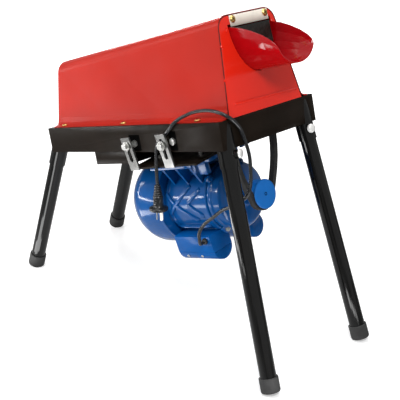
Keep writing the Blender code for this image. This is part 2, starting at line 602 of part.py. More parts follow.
def make_hood_screws(at, finish):
    for side, way in (("front", -1), ("rear", 1)):
        for i, x in enumerate(HOOD_SCREW_PLACES):
            seat = (x, HOOD_OFFSET + way * (HOOD_HALF_BASE + HOOD_FLANGE - HOOD_SCREW_INSET), 2 * GAP + SHEET + 0.0013)
            screw(f"hood_screw_{side}_{i + 1}", seat, (0, 0, 1), at["rack"], finish)


# ---------------------------------------------------------------- drum and drive

def make_drum(at, finishes):
    """The toothed drum, the shaft that carries it, two flange bearings and the big pulley."""
    steel, iron, paint = finishes
    axis = at["drum"]
    bore = SHAFT_RADIUS + RUNNING
    drum = bake(turned("drum", [(bore, DRUM_START), (DRUM_RADIUS, DRUM_START), (DRUM_RADIUS, DRUM_END),
                                (bore, DRUM_END)], axis, iron, steps=24))
    for row in range(TOOTH_ROWS):
        for i in range(TEETH_PER_ROW):
            step = (DRUM_END - DRUM_START) / TEETH_PER_ROW
            height = DRUM_START + step * (i + 0.25 + 0.5 * row / TOOTH_ROWS)
            angle = 2 * pi * row / TOOTH_ROWS + 0.35 * i
            way = Vector((cos(angle), sin(angle), 0))
            foot = way * (DRUM_RADIUS - 0.003) + Vector((0, 0, height))
            tip = way * TOOTH_REACH + Vector((0, 0, height))
            join(drum, rod(f"tooth_{row}_{i}", foot, tip, TOOTH_RADIUS, axis, sides=6, end_radius=TOOTH_RADIUS / 2))
    turned("drum_shaft", [(0, SHAFT_START), (SHAFT_RADIUS, SHAFT_START), (SHAFT_RADIUS, SHAFT_END), (0, SHAFT_END)],
           axis, steel, steps=24)
    for name, seat, way in (("feed", BEARER_FEED_X + BEARER_SHEET, 1), ("outlet", BEARER_OUTLET_X + BEARER_SHEET, 1)):
        low, high = seat + way * GAP, seat + way * (GAP + BEARING_LENGTH)
        flange = low + way * 0.005
        turned(f"bearing_{name}", [(bore, low), (BEARING_RADIUS + 0.008, low), (BEARING_RADIUS + 0.008, flange),
                                   (BEARING_RADIUS, flange), (BEARING_RADIUS - 0.004, high), (bore, high)],
               axis, iron)


def pulley(name, middle, radius, bore, parent, finish, hub_length, web=True):
    """A single-groove pulley about the parent's Z axis, its groove's middle at the given height."""
    low, high = middle - PULLEY_WIDTH / 2, middle + PULLEY_WIDTH / 2
    groove, floor = GROOVE_WIDTH / 2, radius - GROOVE_DEPTH
    rim = [(radius, low), (radius, middle - groove), (floor, middle - groove * 0.93),
           (floor, middle + groove * 0.93), (radius, middle + groove), (radius, high)]
    if web:
        inner, hub, half = floor - 0.005, bore + 0.009, 0.003
        profile = rim + [(inner, high), (inner, middle + half), (hub, middle + half), (hub, high), (bore, high),
                         (bore, low), (hub, low), (hub, middle - half), (inner, middle - half), (inner, low)]
    else:
        profile = rim + [(bore, high), (bore, low - hub_length), (bore + 0.010, low - hub_length), (bore + 0.010, low)]
    return turned(name, profile, parent, finish)


def belt_middle():
    """The belt's plane in the rack's frame, from the motor pulley's groove."""
    turn = Matrix.Rotation(-PLATE_ROLL, 4, "Y") @ Matrix.Rotation(PLATE_SLOPE, 4, "X")
    return Vector((HINGE_X, HINGE_Y, HINGE_Z)) + turn @ Vector((FACE_X - PULLEY_WIDTH / 2, MOTOR_Y, MOTOR_Z))


def belt_loop(small_centre, big_centre, small, big, bow):
    """The belt's closed line in its plane, as (y, z): two arcs and two slightly slack runs."""
    apart = Vector(big_centre) - Vector(small_centre)
    tilt = asin((big - small) / apart.length)
    up = apart.normalized()
    side = Vector((-up.y, up.x))
    points = []

    def on(centre, radius, angle):
        return Vector(centre) + radius * (cos(angle) * side + sin(angle) * up)

    runs = 7
    for i in range(13):       # round the big pulley's top, from one run to the other
        points.append(on(big_centre, big, -tilt + (pi + 2 * tilt) * i / 12))
    left = on(big_centre, big, pi + tilt)
    down = on(small_centre, small, pi + tilt)
    for i in range(1, runs):
        t = i / runs
        points.append(left.lerp(down, t) - side * bow * sin(pi * t))
    for i in range(9):
        points.append(on(small_centre, small, pi + tilt + (pi - 2 * tilt) * i / 8))
    right = on(small_centre, small, -tilt)
    rise = on(big_centre, big, -tilt)
    for i in range(1, runs):
        t = i / runs
        points.append(right.lerp(rise, t) + side * bow * sin(pi * t))
    return [(point.x, point.y) for point in points]


def make_belt(at, rubber):
    """The belt, a flat outline in the plane X = const of the rack's frame."""
    middle = belt_middle()
    big = DRUM_PULLEY_RADIUS + BELT_PROUD
    small = MOTOR_PULLEY_RADIUS + BELT_PROUD
    centres = (middle.y, middle.z), (0.0, DRUM_AXIS_Z)
    outer = belt_loop(*centres, small, big, BELT_BOW)
    inner = belt_loop(*centres, small - BELT_THICKNESS, big - BELT_THICKNESS, BELT_BOW)
    plane = empty("belt_plane", at["rack"], Matrix((
        (0, 0, 1, middle.x), (1, 0, 0, 0), (0, 1, 0, 0), (0, 0, 0, 1))))
    outline("belt", [outer, inner], BELT_WIDTH / 2, plane, rubber)
    return middle.x


def make_trough(at, steel):
    """A deck across the rack with a half-round trough under the drum, slotted over the chute."""
    z = GAP + TROUGH_SHEET
    half = RACK_WIDTH / 2 - LEDGE + 0.004
    round_part = [(-y, zz) for y, zz in arc((0, DRUM_AXIS_Z), TROUGH_RADIUS, 0, -180, 15)]
    line = [(-half, z), (-TROUGH_RADIUS - 0.001, z)] + round_part + [(TROUGH_RADIUS + 0.001, z), (half, z)]
    begin, end = BEARER_OUTLET_X + BEARER_SHEET + BEARING_LENGTH + 0.002, BEARER_FEED_X - 0.002
    trough = sheet("trough", [(x, 0, line) for x in (begin, end)], TROUGH_SHEET, at["rack"], steel)
    pitch = (CHUTE_END - CHUTE_START - 0.012) / TROUGH_SLOTS
    for i in range(TROUGH_SLOTS):
        x = CHUTE_START + 0.006 + pitch * (i + 0.5)
        cut(trough, block(f"trough_slot_{i}", (x - SLOT_LENGTH / 2, -TROUGH_RADIUS * 0.62, -3 * TROUGH_RADIUS),
                          (x + SLOT_LENGTH / 2, TROUGH_RADIUS * 0.62, DRUM_AXIS_Z), at["rack"]))


def make_chute(at, steel):
    """The kernel chute: a box between the rack's long sides, open above and at its low end."""
    half = RACK_WIDTH / 2 - RACK_SHEET - GAP
    front = -half + RACK_SHEET + GAP     # clear of the backing strip
    top = DRUM_AXIS_Z - TROUGH_RADIUS - TROUGH_SHEET - 0.001
    low = -RACK_DEPTH - CHUTE_DROP
    body = prism("kernel_chute", [
        [(CHUTE_START, y, low), (CHUTE_END, y, low + CHUTE_RISE * 0.25), (CHUTE_END, y, top), (CHUTE_START, y, top)]
        for y in (front, half)], at["rack"], steel)
    skin = CHUTE_SHEET
    inside = prism("chute_inside", [
        [(CHUTE_START - PAST, y, low + skin), (CHUTE_END - skin, y, low + skin + CHUTE_RISE * 0.5),
         (CHUTE_END - skin, y, top + PAST), (CHUTE_START - PAST, y, top + PAST)]
        for y in (front + skin, half - skin)], at["rack"])
    cut(body, inside)


def hex_bolt(name, seat, way, shank, length, parent, finish, size=0.0075, head=0.005):
    """A hexagon bolt: its head's underside at the seat, its shank running the other way."""
    seat, way = Vector(seat), Vector(way).normalized()
    bolt = rod(name, seat, seat + way * head, size, parent, finish, sides=6)
    join(bolt, rod(f"{name}_shank", seat + way * (head / 2), seat - way * length, shank, parent, sides=16))
    return bolt


def to_rack(point):
    """A point of the hinge's frame in the rack's frame."""
    turn = Matrix.Rotation(-PLATE_ROLL, 4, "Y") @ Matrix.Rotation(PLATE_SLOPE, 4, "X")
    return Vector((HINGE_X, HINGE_Y, HINGE_Z)) + turn @ Vector(point)


def make_rack_bolts(at, zinc):
    """The two tension bolts, through the ears' slots, and the two bolts in the front windows."""
    face = -RACK_WIDTH / 2
    for i, x in enumerate(EAR_MIDDLES):
        level = (TENSION_BOLT_Z - to_rack((x, -PLATE_REACH, 0)).z) / cos(PLATE_SLOPE)
        where = to_rack((x, -PLATE_REACH, level))
        seat = (where.x, face - TENSION_BOLT_OUT, TENSION_BOLT_Z)
        bolt = hex_bolt(f"tension_bolt_{i + 1}", seat, (0, -1, 0), 0.004, TENSION_BOLT_OUT - GAP, at["rack"], zinc)
        join(bolt, rod(f"tension_washer_{i}", seat, Vector(seat) + Vector((0, 0.0015, 0)), 0.0095, at["rack"], sides=20))
    for i, (begin, end, top) in enumerate(WINDOWS):
        seat = ((begin + end) / 2, face + 0.001, -(top + RACK_DEPTH) / 2)
        hex_bolt(f"window_bolt_{i + 1}", seat, (0, -1, 0), 0.004, RACK_SHEET - 0.001 - GAP, at["rack"], zinc)


# ---------------------------------------------------------------- motor unit

def make_motor_plate(at, steel, zinc):
    """The hinged plate with its two slotted ears, and the hinge pin."""
    hinge = at["hinge"]
    half = PLATE_SHEET / 2
    plate = block("motor_plate", (PLATE_START, -PLATE_REACH, -half), (PLATE_END, -KNUCKLE_RADIUS / 2, half), hinge, steel)
    for i, (x, way) in enumerate(LUG_PLACES):
        begin = x + LUG_SHEET + GAP if way > 0 else x - GAP - KNUCKLE_LENGTH
        join(plate, rod(f"knuckle_{i}", (begin, 0, 0), (begin + KNUCKLE_LENGTH, 0, 0), KNUCKLE_RADIUS, hinge, sides=20))
        notch = block(f"knuckle_notch_{i}", (x - GAP - 0.0005, -KNUCKLE_RADIUS - 0.001, -PAST),
                      (x + LUG_SHEET + GAP, PAST, PAST), hinge)
        cut(plate, notch)
    for i, x in enumerate(EAR_MIDDLES):
        ear = block(f"ear_{i}", (x - EAR_WIDTH / 2, -PLATE_REACH - EAR_SHEET, -half),
                    (x + EAR_WIDTH / 2, -PLATE_REACH + 0.0005, EAR_HEIGHT), hinge)
        slot = [(a, b) for a, b in stadium(EAR_SLOT_HIGH - EAR_SLOT_LOW, EAR_SLOT_WIDTH)]
        middle = (EAR_SLOT_HIGH + EAR_SLOT_LOW) / 2
        rings = [[(x + b, y, middle + a) for a, b in slot]
                 for y in (-PLATE_REACH - EAR_SHEET - PAST, -PLATE_REACH + PAST)]
        join(plate, ear)
        cut(plate, prism(f"ear_slot_{i}", rings, hinge))
    cut(plate, rod("pin_hole", (-1, 0, 0), (1, 0, 0), PIN_RADIUS + GAP, hinge, sides=16))
    for i, x in enumerate(FOOT_BOLT_PLACES):
        for side in (-1, 1):
            y = MOTOR_Y + side * (FOOT_HALF_SPAN - FOOT_WIDTH / 2)
            cut(plate, rod(f"plate_hole_{i}_{side}", (x, y, -PAST), (x, y, PAST), 0.0043, hinge, sides=16))
    begin, end = LUG_PLACES[0][0] - 0.006, LUG_PLACES[1][0] + LUG_SHEET + 0.006
    rod("hinge_pin", (begin, 0, 0), (end, 0, 0), PIN_RADIUS, hinge, zinc, sides=16)


def make_motor_body(at, blue):
    """The cast housing: a barrel with a bore for the rotor, on two feet that hang it from the plate."""
    hinge, axis = at["hinge"], at["motor"]
    body = bake(turned("motor_housing", [
        (CORE_RADIUS, BODY_START), (MOTOR_RADIUS, BODY_START), (MOTOR_RADIUS, BELL_START - GAP),
        (CORE_RADIUS, BELL_START - GAP)], axis, blue))
    top = -PLATE_SHEET / 2 - GAP
    for name, side in (("front", -1), ("rear", 1)):
        outer = MOTOR_Y + side * FOOT_HALF_SPAN
        inner = outer - side * FOOT_WIDTH
        low_y, high_y = sorted((outer, inner))
        foot = block(f"foot_{name}", (FOOT_START, low_y, top - FOOT_SHEET), (FOOT_END, high_y, top), hinge)
        wall = side * 0.006
        web = prism(f"foot_web_{name}", [
            [(x, inner, top - FOOT_SHEET / 2), (x, inner + wall, top - FOOT_SHEET / 2),
             (x, MOTOR_Y + side * MOTOR_RADIUS * 0.60, MOTOR_Z + MOTOR_RADIUS * 0.74),
             (x, MOTOR_Y + side * MOTOR_RADIUS * 0.36, MOTOR_Z + MOTOR_RADIUS * 0.74)]
            for x in (FOOT_START + 0.012, BELL_START - 0.006)], hinge)
        join(body, foot, web)
        for i, x in enumerate(FOOT_BOLT_PLACES):
            y = MOTOR_Y + side * (FOOT_HALF_SPAN - FOOT_WIDTH / 2)
            cut(body, rod(f"foot_hole_{name}_{i}", (x, y, top - FOOT_SHEET - PAST), (x, y, PAST), 0.0043, hinge, sides=16))
    core = rod("barrel_bore", (BODY_START - PAST, MOTOR_Y, MOTOR_Z), (BELL_START + PAST, MOTOR_Y, MOTOR_Z),
               CORE_RADIUS, hinge, sides=32)
    cut(body, core)


def make_bells_and_cover(at, blue):
    """The two end bells with the shaft's bearings, and the domed fan cover."""
    axis = at["motor"]
    bore = MOTOR_SHAFT + RUNNING
    turned("drive_end_bell", [
        (MOTOR_RADIUS - 0.001, BELL_START), (MOTOR_RADIUS - 0.001, BELL_START + 0.010),
        (MOTOR_RADIUS - 0.004, BELL_START + 0.012), (MOTOR_RADIUS - 0.005, BELL_END - 0.006),
        (MOTOR_RADIUS - 0.014, BELL_END), (0.024, BELL_END + 0.002), (0.020, BELL_END + 0.012), (bore, BELL_END + 0.012),
        (bore, BELL_END - 0.010), (MOTOR_RADIUS - 0.022, BELL_END - 0.010), (MOTOR_RADIUS - 0.012, BELL_START)],
        axis, blue)
    end = BODY_START - GAP
    disc = COVER_RADIUS - COVER_SHEET - GAP
    turned("rear_end_bell", [
        (MOTOR_RADIUS, end), (MOTOR_RADIUS, end - 0.004), (disc, end - 0.004), (disc, end - REAR_BELL_LENGTH),
        (MOTOR_RADIUS - 0.006, end - REAR_BELL_LENGTH), (0.020, end - REAR_BELL_LENGTH - 0.006), (bore, end - REAR_BELL_LENGTH - 0.006),
        (bore, end)], axis, blue)
    rim, corner = BODY_START - 0.003, COVER_TIP + COVER_ROUND
    steps = 7

    def dome(radius, depth):
        """The quarter line from the straight wall to the tip, flattened like a stamping."""
        angles = [pi / 2 * i / steps for i in range(steps + 1)]
        return [(radius * max(0.0, cos(a)) ** 0.62, corner - depth * sin(a) ** 1.25) for a in angles[:-1]]

    outer = dome(COVER_RADIUS, COVER_ROUND) + [(0.012, COVER_TIP)]
    inner = dome(COVER_RADIUS - COVER_SHEET, COVER_ROUND - COVER_SHEET) + [(0.012, COVER_TIP + COVER_SHEET)]
    turned("fan_cover", [(COVER_RADIUS, rim)] + outer + inner[::-1] + [(COVER_RADIUS - COVER_SHEET, rim)], axis, blue)


def make_motor_rotor(at, finishes, belt_height):
    """The shaft with its rotor core, the cooling fan and the motor pulley."""
    steel, plastic, blue = finishes
    axis = at["motor"]
    shaft, core = MOTOR_SHAFT, CORE_RADIUS - 0.0008
    core_low, core_high = BODY_START + 0.012, BELL_START - 0.010
    turned("motor_shaft", [(0, -0.108), (shaft, -0.108), (shaft, core_low), (core, core_low), (core, core_high),
                           (shaft, core_high), (shaft, FACE_X - 0.001), (0, FACE_X - 0.001)], axis, steel, steps=24)
    low, high = -0.098, -0.066
    fan = bake(turned("cooling_fan", [(shaft + GAP, low), (0.016, low), (0.016, high - 0.004), (0.058, high - 0.004),
                                      (0.058, high), (shaft + GAP, high)], axis, plastic, steps=24))
    for i in range(6):
        turn = Matrix.Rotation(i * pi / 3, 4, "Z")
        way, across = turn @ Vector((1, 0, 0)), turn @ Vector((0, 1, 0))
        blade = [[way * r + across * side * 0.0012 + Vector((0, 0, z)) for r, side in ((0.014, -1), (0.056, -1), (0.056, 1), (0.014, 1))]
                 for z in (low + 0.004, high - 0.002)]
        join(fan, prism(f"fan_blade_{i}", blade, axis))
    pulley("motor_pulley", belt_height, MOTOR_PULLEY_RADIUS, shaft + GAP, axis, blue, 0.012, web=False)


def can_centre(distance, angle):
    """Where a can lies beside the barrel: angle from straight below, towards the rear when positive."""
    return MOTOR_Y + distance * sin(angle), MOTOR_Z - distance * cos(angle)


def make_cans(at, blue):
    """The front can, a box with a round lid that takes the cord, and the rear capacitor's can."""
    hinge, axis = at["hinge"], at["motor"]
    y, z = can_centre(CAN_DISTANCE, CAN_ANGLE)
    seam = z - CAN_RADIUS * LID_SHARE
    barrel = rod("barrel_clearance", (CAN_START - PAST, MOTOR_Y, MOTOR_Z), (FACE_X, MOTOR_Y, MOTOR_Z),
                 MOTOR_RADIUS + GAP, hinge, sides=32)
    side = sqrt(CAN_RADIUS ** 2 - (z - seam) ** 2)
    top = z + CAN_RADIUS + 0.006
    upper = [(y - side, seam), (y + side, seam), (y + CAN_RADIUS, z), (y + CAN_RADIUS, top), (y - CAN_RADIUS * 0.8, top),
             (y - CAN_RADIUS, z + GROMMET_UP + GROMMET_RADIUS + 0.002), (y - CAN_RADIUS, z)]
    box = prism("capacitor_box", [[(x, a, b) for a, b in upper] for x in (CAN_START, CAN_END)], hinge, blue, 30)
    cut(box, barrel)
    begin = asin(LID_SHARE)
    low = [(y - CAN_RADIUS * cos(t), z - CAN_RADIUS * sin(t))
           for t in (begin + 0.012 + (pi - 2 * begin - 0.024) * i / 12 for i in range(13))]
    prism("capacitor_lid", [[(x, a, b) for a, b in low] for x in (CAN_START, CAN_END)], hinge, blue, 30)
    y, z = can_centre(REAR_CAN_DISTANCE, REAR_CAN_ANGLE)
    rear = rod("run_capacitor_can", (REAR_CAN_START, y, z), (REAR_CAN_END, y, z), REAR_CAN_RADIUS, hinge, blue)
    saddle = block("rear_saddle", (REAR_CAN_START + 0.010, y - REAR_CAN_RADIUS * 0.6, z),
                   (REAR_CAN_END - 0.020, y + REAR_CAN_RADIUS * 0.6, z + REAR_CAN_RADIUS + 0.006), hinge)
    join(rear, saddle)
    cut(rear, barrel)


def make_foot_bolts(at, zinc):
    top = -PLATE_SHEET / 2 - GAP
    for i, x in enumerate(FOOT_BOLT_PLACES):
        y = MOTOR_Y - (FOOT_HALF_SPAN - FOOT_WIDTH / 2)
        hex_bolt(f"foot_bolt_{i + 1}", (x, y, top - FOOT_SHEET - GAP), (0, 0, -1), 0.0040, FOOT_SHEET + PLATE_SHEET + 0.006,
                 at["hinge"], zinc)


# ---------------------------------------------------------------- cord and plug

def smooth_line(points, step):
    """Even points along a Catmull-Rom curve through the given ones."""
    points = [Vector(point) for point in points]
    padded = [points[0] * 2 - points[1]] + points + [points[-1] * 2 - points[-2]]
    fine = []
    for a, b, c, d in zip(padded, padded[1:], padded[2:], padded[3:]):
        for i in range(12):
            t = i / 12
            fine.append(0.5 * (2 * b + (c - a) * t + (2 * a - 5 * b + 4 * c - d) * t * t
                               + (3 * b - a - 3 * c + d) * t ** 3))
    fine.append(points[-1])
    lengths = [0.0]
    for one, two in zip(fine, fine[1:]):
        lengths.append(lengths[-1] + (two - one).length)
    count = round(lengths[-1] / step)
    even, at = [], 0
    for i in range(count + 1):
        want = lengths[-1] * i / count
        while at < len(fine) - 2 and lengths[at + 1] < want:
            at += 1
        share = (want - lengths[at]) / (lengths[at + 1] - lengths[at])
        even.append(fine[at].lerp(fine[at + 1], share))
    return even, lengths[-1]


def make_cord(at, finishes):
    """The grommet in the box's side, the cord over the rack's corner and the hanging plug."""
    rubber, black = finishes
    hinge, rack = at["hinge"], at["rack"]
    y, z = can_centre(CAN_DISTANCE, CAN_ANGLE)
    face = y - CAN_RADIUS
    seat = Vector((GROMMET_X, face - GAP, z + GROMMET_UP))
    tip = seat - Vector((0, GROMMET_LENGTH, 0))
    rod("cord_grommet", seat, tip, GROMMET_RADIUS, hinge, rubber, sides=20, end_radius=GROMMET_RADIUS * 0.8)
    out = Vector(to_rack(tip - Vector((0, GAP, 0))))
    bend = Vector(to_rack(tip - Vector((0, 2 * CORD_RADIUS, 0))))
    line, length = smooth_line([bend] + [Vector(point) for point in CORD_ROUTE], CORD_STEP)
    line.insert(0, out)
    curve = bpy.data.curves.new("power_cord", "CURVE")
    curve.dimensions = "3D"
    curve.bevel_depth = CORD_RADIUS
    curve.bevel_resolution = 2
    curve.use_fill_caps = True
    spline = curve.splines.new("POLY")
    spline.points.add(len(line) - 1)
    for point, where in zip(spline.points, line):
        point.co = (*where, 1)
    place("power_cord", curve, rack, black)
    way = (line[-1] - line[-2]).normalized()
    across = Vector((0, 1, 0)).cross(way).normalized()
    turn = Matrix((across, way.cross(across), way)).transposed().to_4x4()
    frame = empty("plug_frame", rack, Matrix.Translation(line[-1] + way * GAP) @ turn)
    relief, body, flange = PLUG_RELIEF, PLUG_BODY, PLUG_FLANGE
    plug = bake(turned("plug", [(0, 0), (0.0055, 0), (0.0085, relief), (0.0095, relief + 0.004), (0.0095, relief + body),
                                (0.0165, relief + body + 0.001), (0.0165, relief + body + flange),
                                (0, relief + body + flange)], frame, black, steps=20))
    foot = relief + body + flange
    for i, (x, turn_by) in enumerate(((-0.0065, 30), (0.0065, -30))):
        pin = block(f"pin_{i}", (-0.00075, -0.0031, -0.002), (0.00075, 0.0031, PLUG_PINS), frame)
        pin.matrix_basis = Matrix.Translation((x, 0, foot)) @ Matrix.Rotation(radians(turn_by), 4, "Z")
        join(plug, pin)
    return length


# ---------------------------------------------------------------- the whole object

def main():
    at, legs, reaches = frames()
    red = material("hood_red", (0.62, 0.05, 0.035), 0.35)
    end_red = material("end_red", (0.80, 0.035, 0.02), 0.30)
    scoop_red = material("scoop_red", (0.42, 0.0, 0.008), 0.22)
    frame_black = material("frame_black", (0.020, 0.016, 0.013), 0.45)
    leg_black = material("leg_black", (0.012, 0.012, 0.012), 0.25)
    rubber = material("cap_rubber", (0.05, 0.05, 0.05), 0.8)
    zinc = material("zinc", (0.72, 0.72, 0.70), 0.3, 1.0)
    yellow = material("yellow_zinc", (0.70, 0.52, 0.20), 0.35, 1.0)
    steel = material("bare_steel", (0.45, 0.45, 0.44), 0.4, 1.0)
    iron = material("cast_iron", (0.20, 0.20, 0.20), 0.6, 1.0)
    blue = material("motor_blue", (0.010, 0.080, 0.30), 0.3)
    pulley_blue = material("pulley_blue", (0.005, 0.13, 0.45), 0.35)
    off_white = material("strip_white", (0.75, 0.72, 0.62), 0.5)
    bristle = material("bristle_black", (0.02, 0.02, 0.02), 0.7)
    black = material("cord_black", (0.02, 0.02, 0.02), 0.5)

    make_rack(at, legs, frame_black)
    for name, frame in legs.items():
        nut_end = make_socket(name, frame, at["rack"], frame_black)
        make_leg(name, frame, at["rack"], reaches[name][0], nut_end, (leg_black, rubber, zinc))
    make_hood(at, red)
    make_feed_end(at, end_red)
    make_outlet_end(at, end_red)
    make_scoop(at, scoop_red)
    make_brush(at, (off_white, bristle, yellow))
    make_hood_screws(at, yellow)
    make_drum(at, (steel, iron, blue))
    belt_x = make_belt(at, black)
    pulley("drum_pulley", belt_x, DRUM_PULLEY_RADIUS, SHAFT_RADIUS + GAP, at["drum"], iron, 0.0)
    make_trough(at, steel)
    make_chute(at, frame_black)
    make_rack_bolts(at, zinc)
    make_motor_plate(at, frame_black, zinc)
    make_motor_body(at, blue)
    make_bells_and_cover(at, blue)
    make_motor_rotor(at, (steel, black, pulley_blue), FACE_X - PULLEY_WIDTH / 2)
    make_cans(at, blue)
    make_foot_bolts(at, zinc)
    make_cord(at, (rubber, black))


PARTS, CUTTERS = start()
main()
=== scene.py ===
"""Looks for the corn sheller: camera, finishes, cord, small parts, lights, world and floor."""
import json
from math import atan2, cos, pi, radians, sin, sqrt

import bmesh
import bpy
from mathutils import Matrix, Vector, noise


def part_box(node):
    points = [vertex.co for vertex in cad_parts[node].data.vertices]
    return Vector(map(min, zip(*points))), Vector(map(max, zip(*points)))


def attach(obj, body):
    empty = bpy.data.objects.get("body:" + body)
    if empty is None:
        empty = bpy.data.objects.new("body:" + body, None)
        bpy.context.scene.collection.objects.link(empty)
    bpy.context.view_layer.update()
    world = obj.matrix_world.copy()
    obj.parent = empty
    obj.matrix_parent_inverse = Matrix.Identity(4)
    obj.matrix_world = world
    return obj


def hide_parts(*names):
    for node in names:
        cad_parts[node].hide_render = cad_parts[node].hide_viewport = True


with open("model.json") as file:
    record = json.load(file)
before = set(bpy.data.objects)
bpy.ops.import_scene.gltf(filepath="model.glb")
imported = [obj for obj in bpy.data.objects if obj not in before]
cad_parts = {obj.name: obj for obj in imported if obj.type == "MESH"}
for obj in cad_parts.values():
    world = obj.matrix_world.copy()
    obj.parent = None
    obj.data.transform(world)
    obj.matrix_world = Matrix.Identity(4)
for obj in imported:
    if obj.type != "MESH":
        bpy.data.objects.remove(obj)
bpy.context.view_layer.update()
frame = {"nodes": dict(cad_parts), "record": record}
nodes = frame["nodes"]
scene = bpy.context.scene
scene.view_settings.view_transform = "Standard"


# ------------------------------------------------------------- the CAD's own frames
def turn(angle, axis):
    return Matrix.Rotation(radians(angle), 4, axis)


def shift(x, y, z):
    return Matrix.Translation((x, y, z))


GAP = 0.0003                                            # between pieces that touch
RACK_PLACE, RACK_SLOPE = (-0.017742, -0.007487, 0.430), -14.76      # it runs down to the outlet
RACK_FRONT = -0.1345                                    # Y of its front face
END_PLACE, END_LEAN = (0.2650, -0.0022, 0), -5.5        # the feed end plate
END_FACE = 0.0015                                       # X of the end plate's outer face
HINGE_PLACE, HINGE_SLOPE, PLATE_TILT = (0.040, 0.105, -0.052), -3.3, 8
BARREL_Y, BARREL_Z, BARREL = -0.122, -0.113, 0.072      # the motor's axis from the hinge; the barrel's radius

RACK = shift(*RACK_PLACE) @ turn(RACK_SLOPE, "Y")
FEED_END = RACK @ shift(*END_PLACE) @ turn(END_LEAN, "Y")
HINGE = RACK @ shift(*HINGE_PLACE) @ turn(HINGE_SLOPE, "Y") @ turn(PLATE_TILT, "X")
MOTOR = HINGE @ shift(0, BARREL_Y, BARREL_Z) @ turn(90, "Y")    # its Z runs along the motor to the pulley


# ------------------------------------------------------------- camera
camera = bpy.data.objects.new("camera", bpy.data.cameras.new("camera"))
scene.collection.objects.link(camera)
camera.location = (1.3758, -1.3530, 1.0437)
camera.rotation_euler = (radians(67.231), radians(-0.599), radians(44.548))
camera.data.sensor_width = 36
camera.data.lens = 87.19
camera.data.clip_start, camera.data.clip_end = 0.05, 50
scene.camera = camera


# ------------------------------------------------------------- finishes
def add_node(tree, kind, **values):
    """A new shader node; a key that starts with in_ names an input, any other key a property."""
    new = tree.nodes.new(kind)
    for key, value in values.items():
        if key.startswith("in_"):
            new.inputs[key[3:].replace("_", " ")].default_value = value
        else:
            setattr(new, key, value)
    return new


def add_range(tree, source, limits):
    """The source mapped from the first two limits to the last two."""
    new = add_node(tree, "ShaderNodeMapRange")
    for socket, value in zip(("From Min", "From Max", "To Min", "To Max"), limits):
        new.inputs[socket].default_value = value
    tree.links.new(source, new.inputs["Value"])
    return new.outputs["Result"]


COAT_ROUGHNESS, DENT_DEPTH, GRAIN_DEPTH = 0.06, 0.004, 0.0003


def finish(name, colour, roughness, metallic=0.0, coat=0.0, specular=0.5, tone=0.06, tone_scale=11,
           smear=0.08, smear_scale=25, dent=0.0, dent_scale=13, grain=0.0, grain_scale=900,
           stretch=(1, 1, 1)):
    """A procedural finish in object space, so in metres.

    tone is how far the colour varies, smear how far the roughness does; dents and grain are bumps.
    """
    made = bpy.data.materials.new(name)
    made.use_nodes = True
    tree = made.node_tree
    shader = tree.nodes["Principled BSDF"]
    link = tree.links.new
    place = add_node(tree, "ShaderNodeTexCoord").outputs["Object"]
    if stretch != (1, 1, 1):
        mapping = add_node(tree, "ShaderNodeMapping", in_Scale=stretch)
        link(place, mapping.inputs["Vector"])
        place = mapping.outputs["Vector"]

    def noise_at(scale, detail=3.0):
        new = add_node(tree, "ShaderNodeTexNoise", in_Scale=scale, in_Detail=detail)
        link(place, new.inputs["Vector"])
        return new.outputs["Fac"]

    ramp = add_node(tree, "ShaderNodeValToRGB")
    low, high = ramp.color_ramp.elements
    low.position, high.position = 0.30, 0.70
    low.color = (*[c * (1 - tone) for c in colour], 1)
    high.color = (*[min(1, c * (1 + tone)) for c in colour], 1)
    link(noise_at(tone_scale, 4), ramp.inputs["Fac"])
    link(ramp.outputs["Color"], shader.inputs["Base Color"])
    spread = (0, 1, max(0.02, roughness - smear), min(1, roughness + smear))
    link(add_range(tree, noise_at(smear_scale), spread), shader.inputs["Roughness"])
    shader.inputs["Metallic"].default_value = metallic
    shader.inputs["Specular IOR Level"].default_value = specular
    shader.inputs["Coat Weight"].default_value = coat
    shader.inputs["Coat Roughness"].default_value = COAT_ROUGHNESS
    normal = None
    for strength, scale, depth in ((dent, dent_scale, DENT_DEPTH), (grain, grain_scale, GRAIN_DEPTH)):
        if strength:
            bump = add_node(tree, "ShaderNodeBump", in_Strength=strength, in_Distance=depth)
            link(noise_at(scale, 2), bump.inputs["Height"])
            if normal:
                link(normal, bump.inputs["Normal"])
            normal = bump.outputs["Normal"]
    if normal:
        link(normal, shader.inputs["Normal"])
    return made


# paint and plastic
HOOD_RED = finish("hood_red", (0.415, 0.016, 0.008), 0.34, coat=0.03, specular=0.12, tone=0.10,
                  tone_scale=6, smear=0.12, smear_scale=9, dent=0.35, dent_scale=8, grain=0.10)
END_RED = finish("end_red", (0.74, 0.018, 0.006), 0.20, coat=0.14, specular=0.4, tone_scale=8,
                 dent=0.25, dent_scale=10, grain=0.08)
SCOOP_RED = finish("scoop_red", (0.35, 0.001, 0.004), 0.10, coat=0.32, specular=0.4, dent=0.25,
                   dent_scale=16, grain=0.06)
# dark red: painted shade for the gap between the hood and the end plate
SEAM_SHADE_RED = finish("seam_shade_red", (0.085, 0.006, 0.004), 0.55, specular=0.3, tone=0.4, tone_scale=90)
RACK_BLACK = finish("rack_black", (0.0100, 0.0064, 0.0040), 0.36, specular=0.11, tone=0.30,
                    tone_scale=14, grain=0.20)
LEG_BLACK = finish("leg_black", (0.004, 0.004, 0.0038), 0.09, coat=0.12, specular=0.34, tone=0.2,
                   smear=0.03, grain=0.05)
BLUE = finish("motor_blue", (0.002, 0.074, 0.27), 0.15, coat=0.26, specular=0.26, tone=0.12,
              tone_scale=18, dent=0.04, dent_scale=40, grain=0.12, grain_scale=420)
BOX_BLUE = finish("box_blue", (0.002, 0.088, 0.33), 0.24, coat=0.04, specular=0.06, tone=0.12,
                  tone_scale=22, dent=0.05, dent_scale=40, grain=0.12, grain_scale=420)
PULLEY_BLUE = finish("pulley_blue", (0.003, 0.13, 0.46), 0.42, coat=0.1, specular=0.3, tone=0.08,
                     tone_scale=40, grain=0.2)
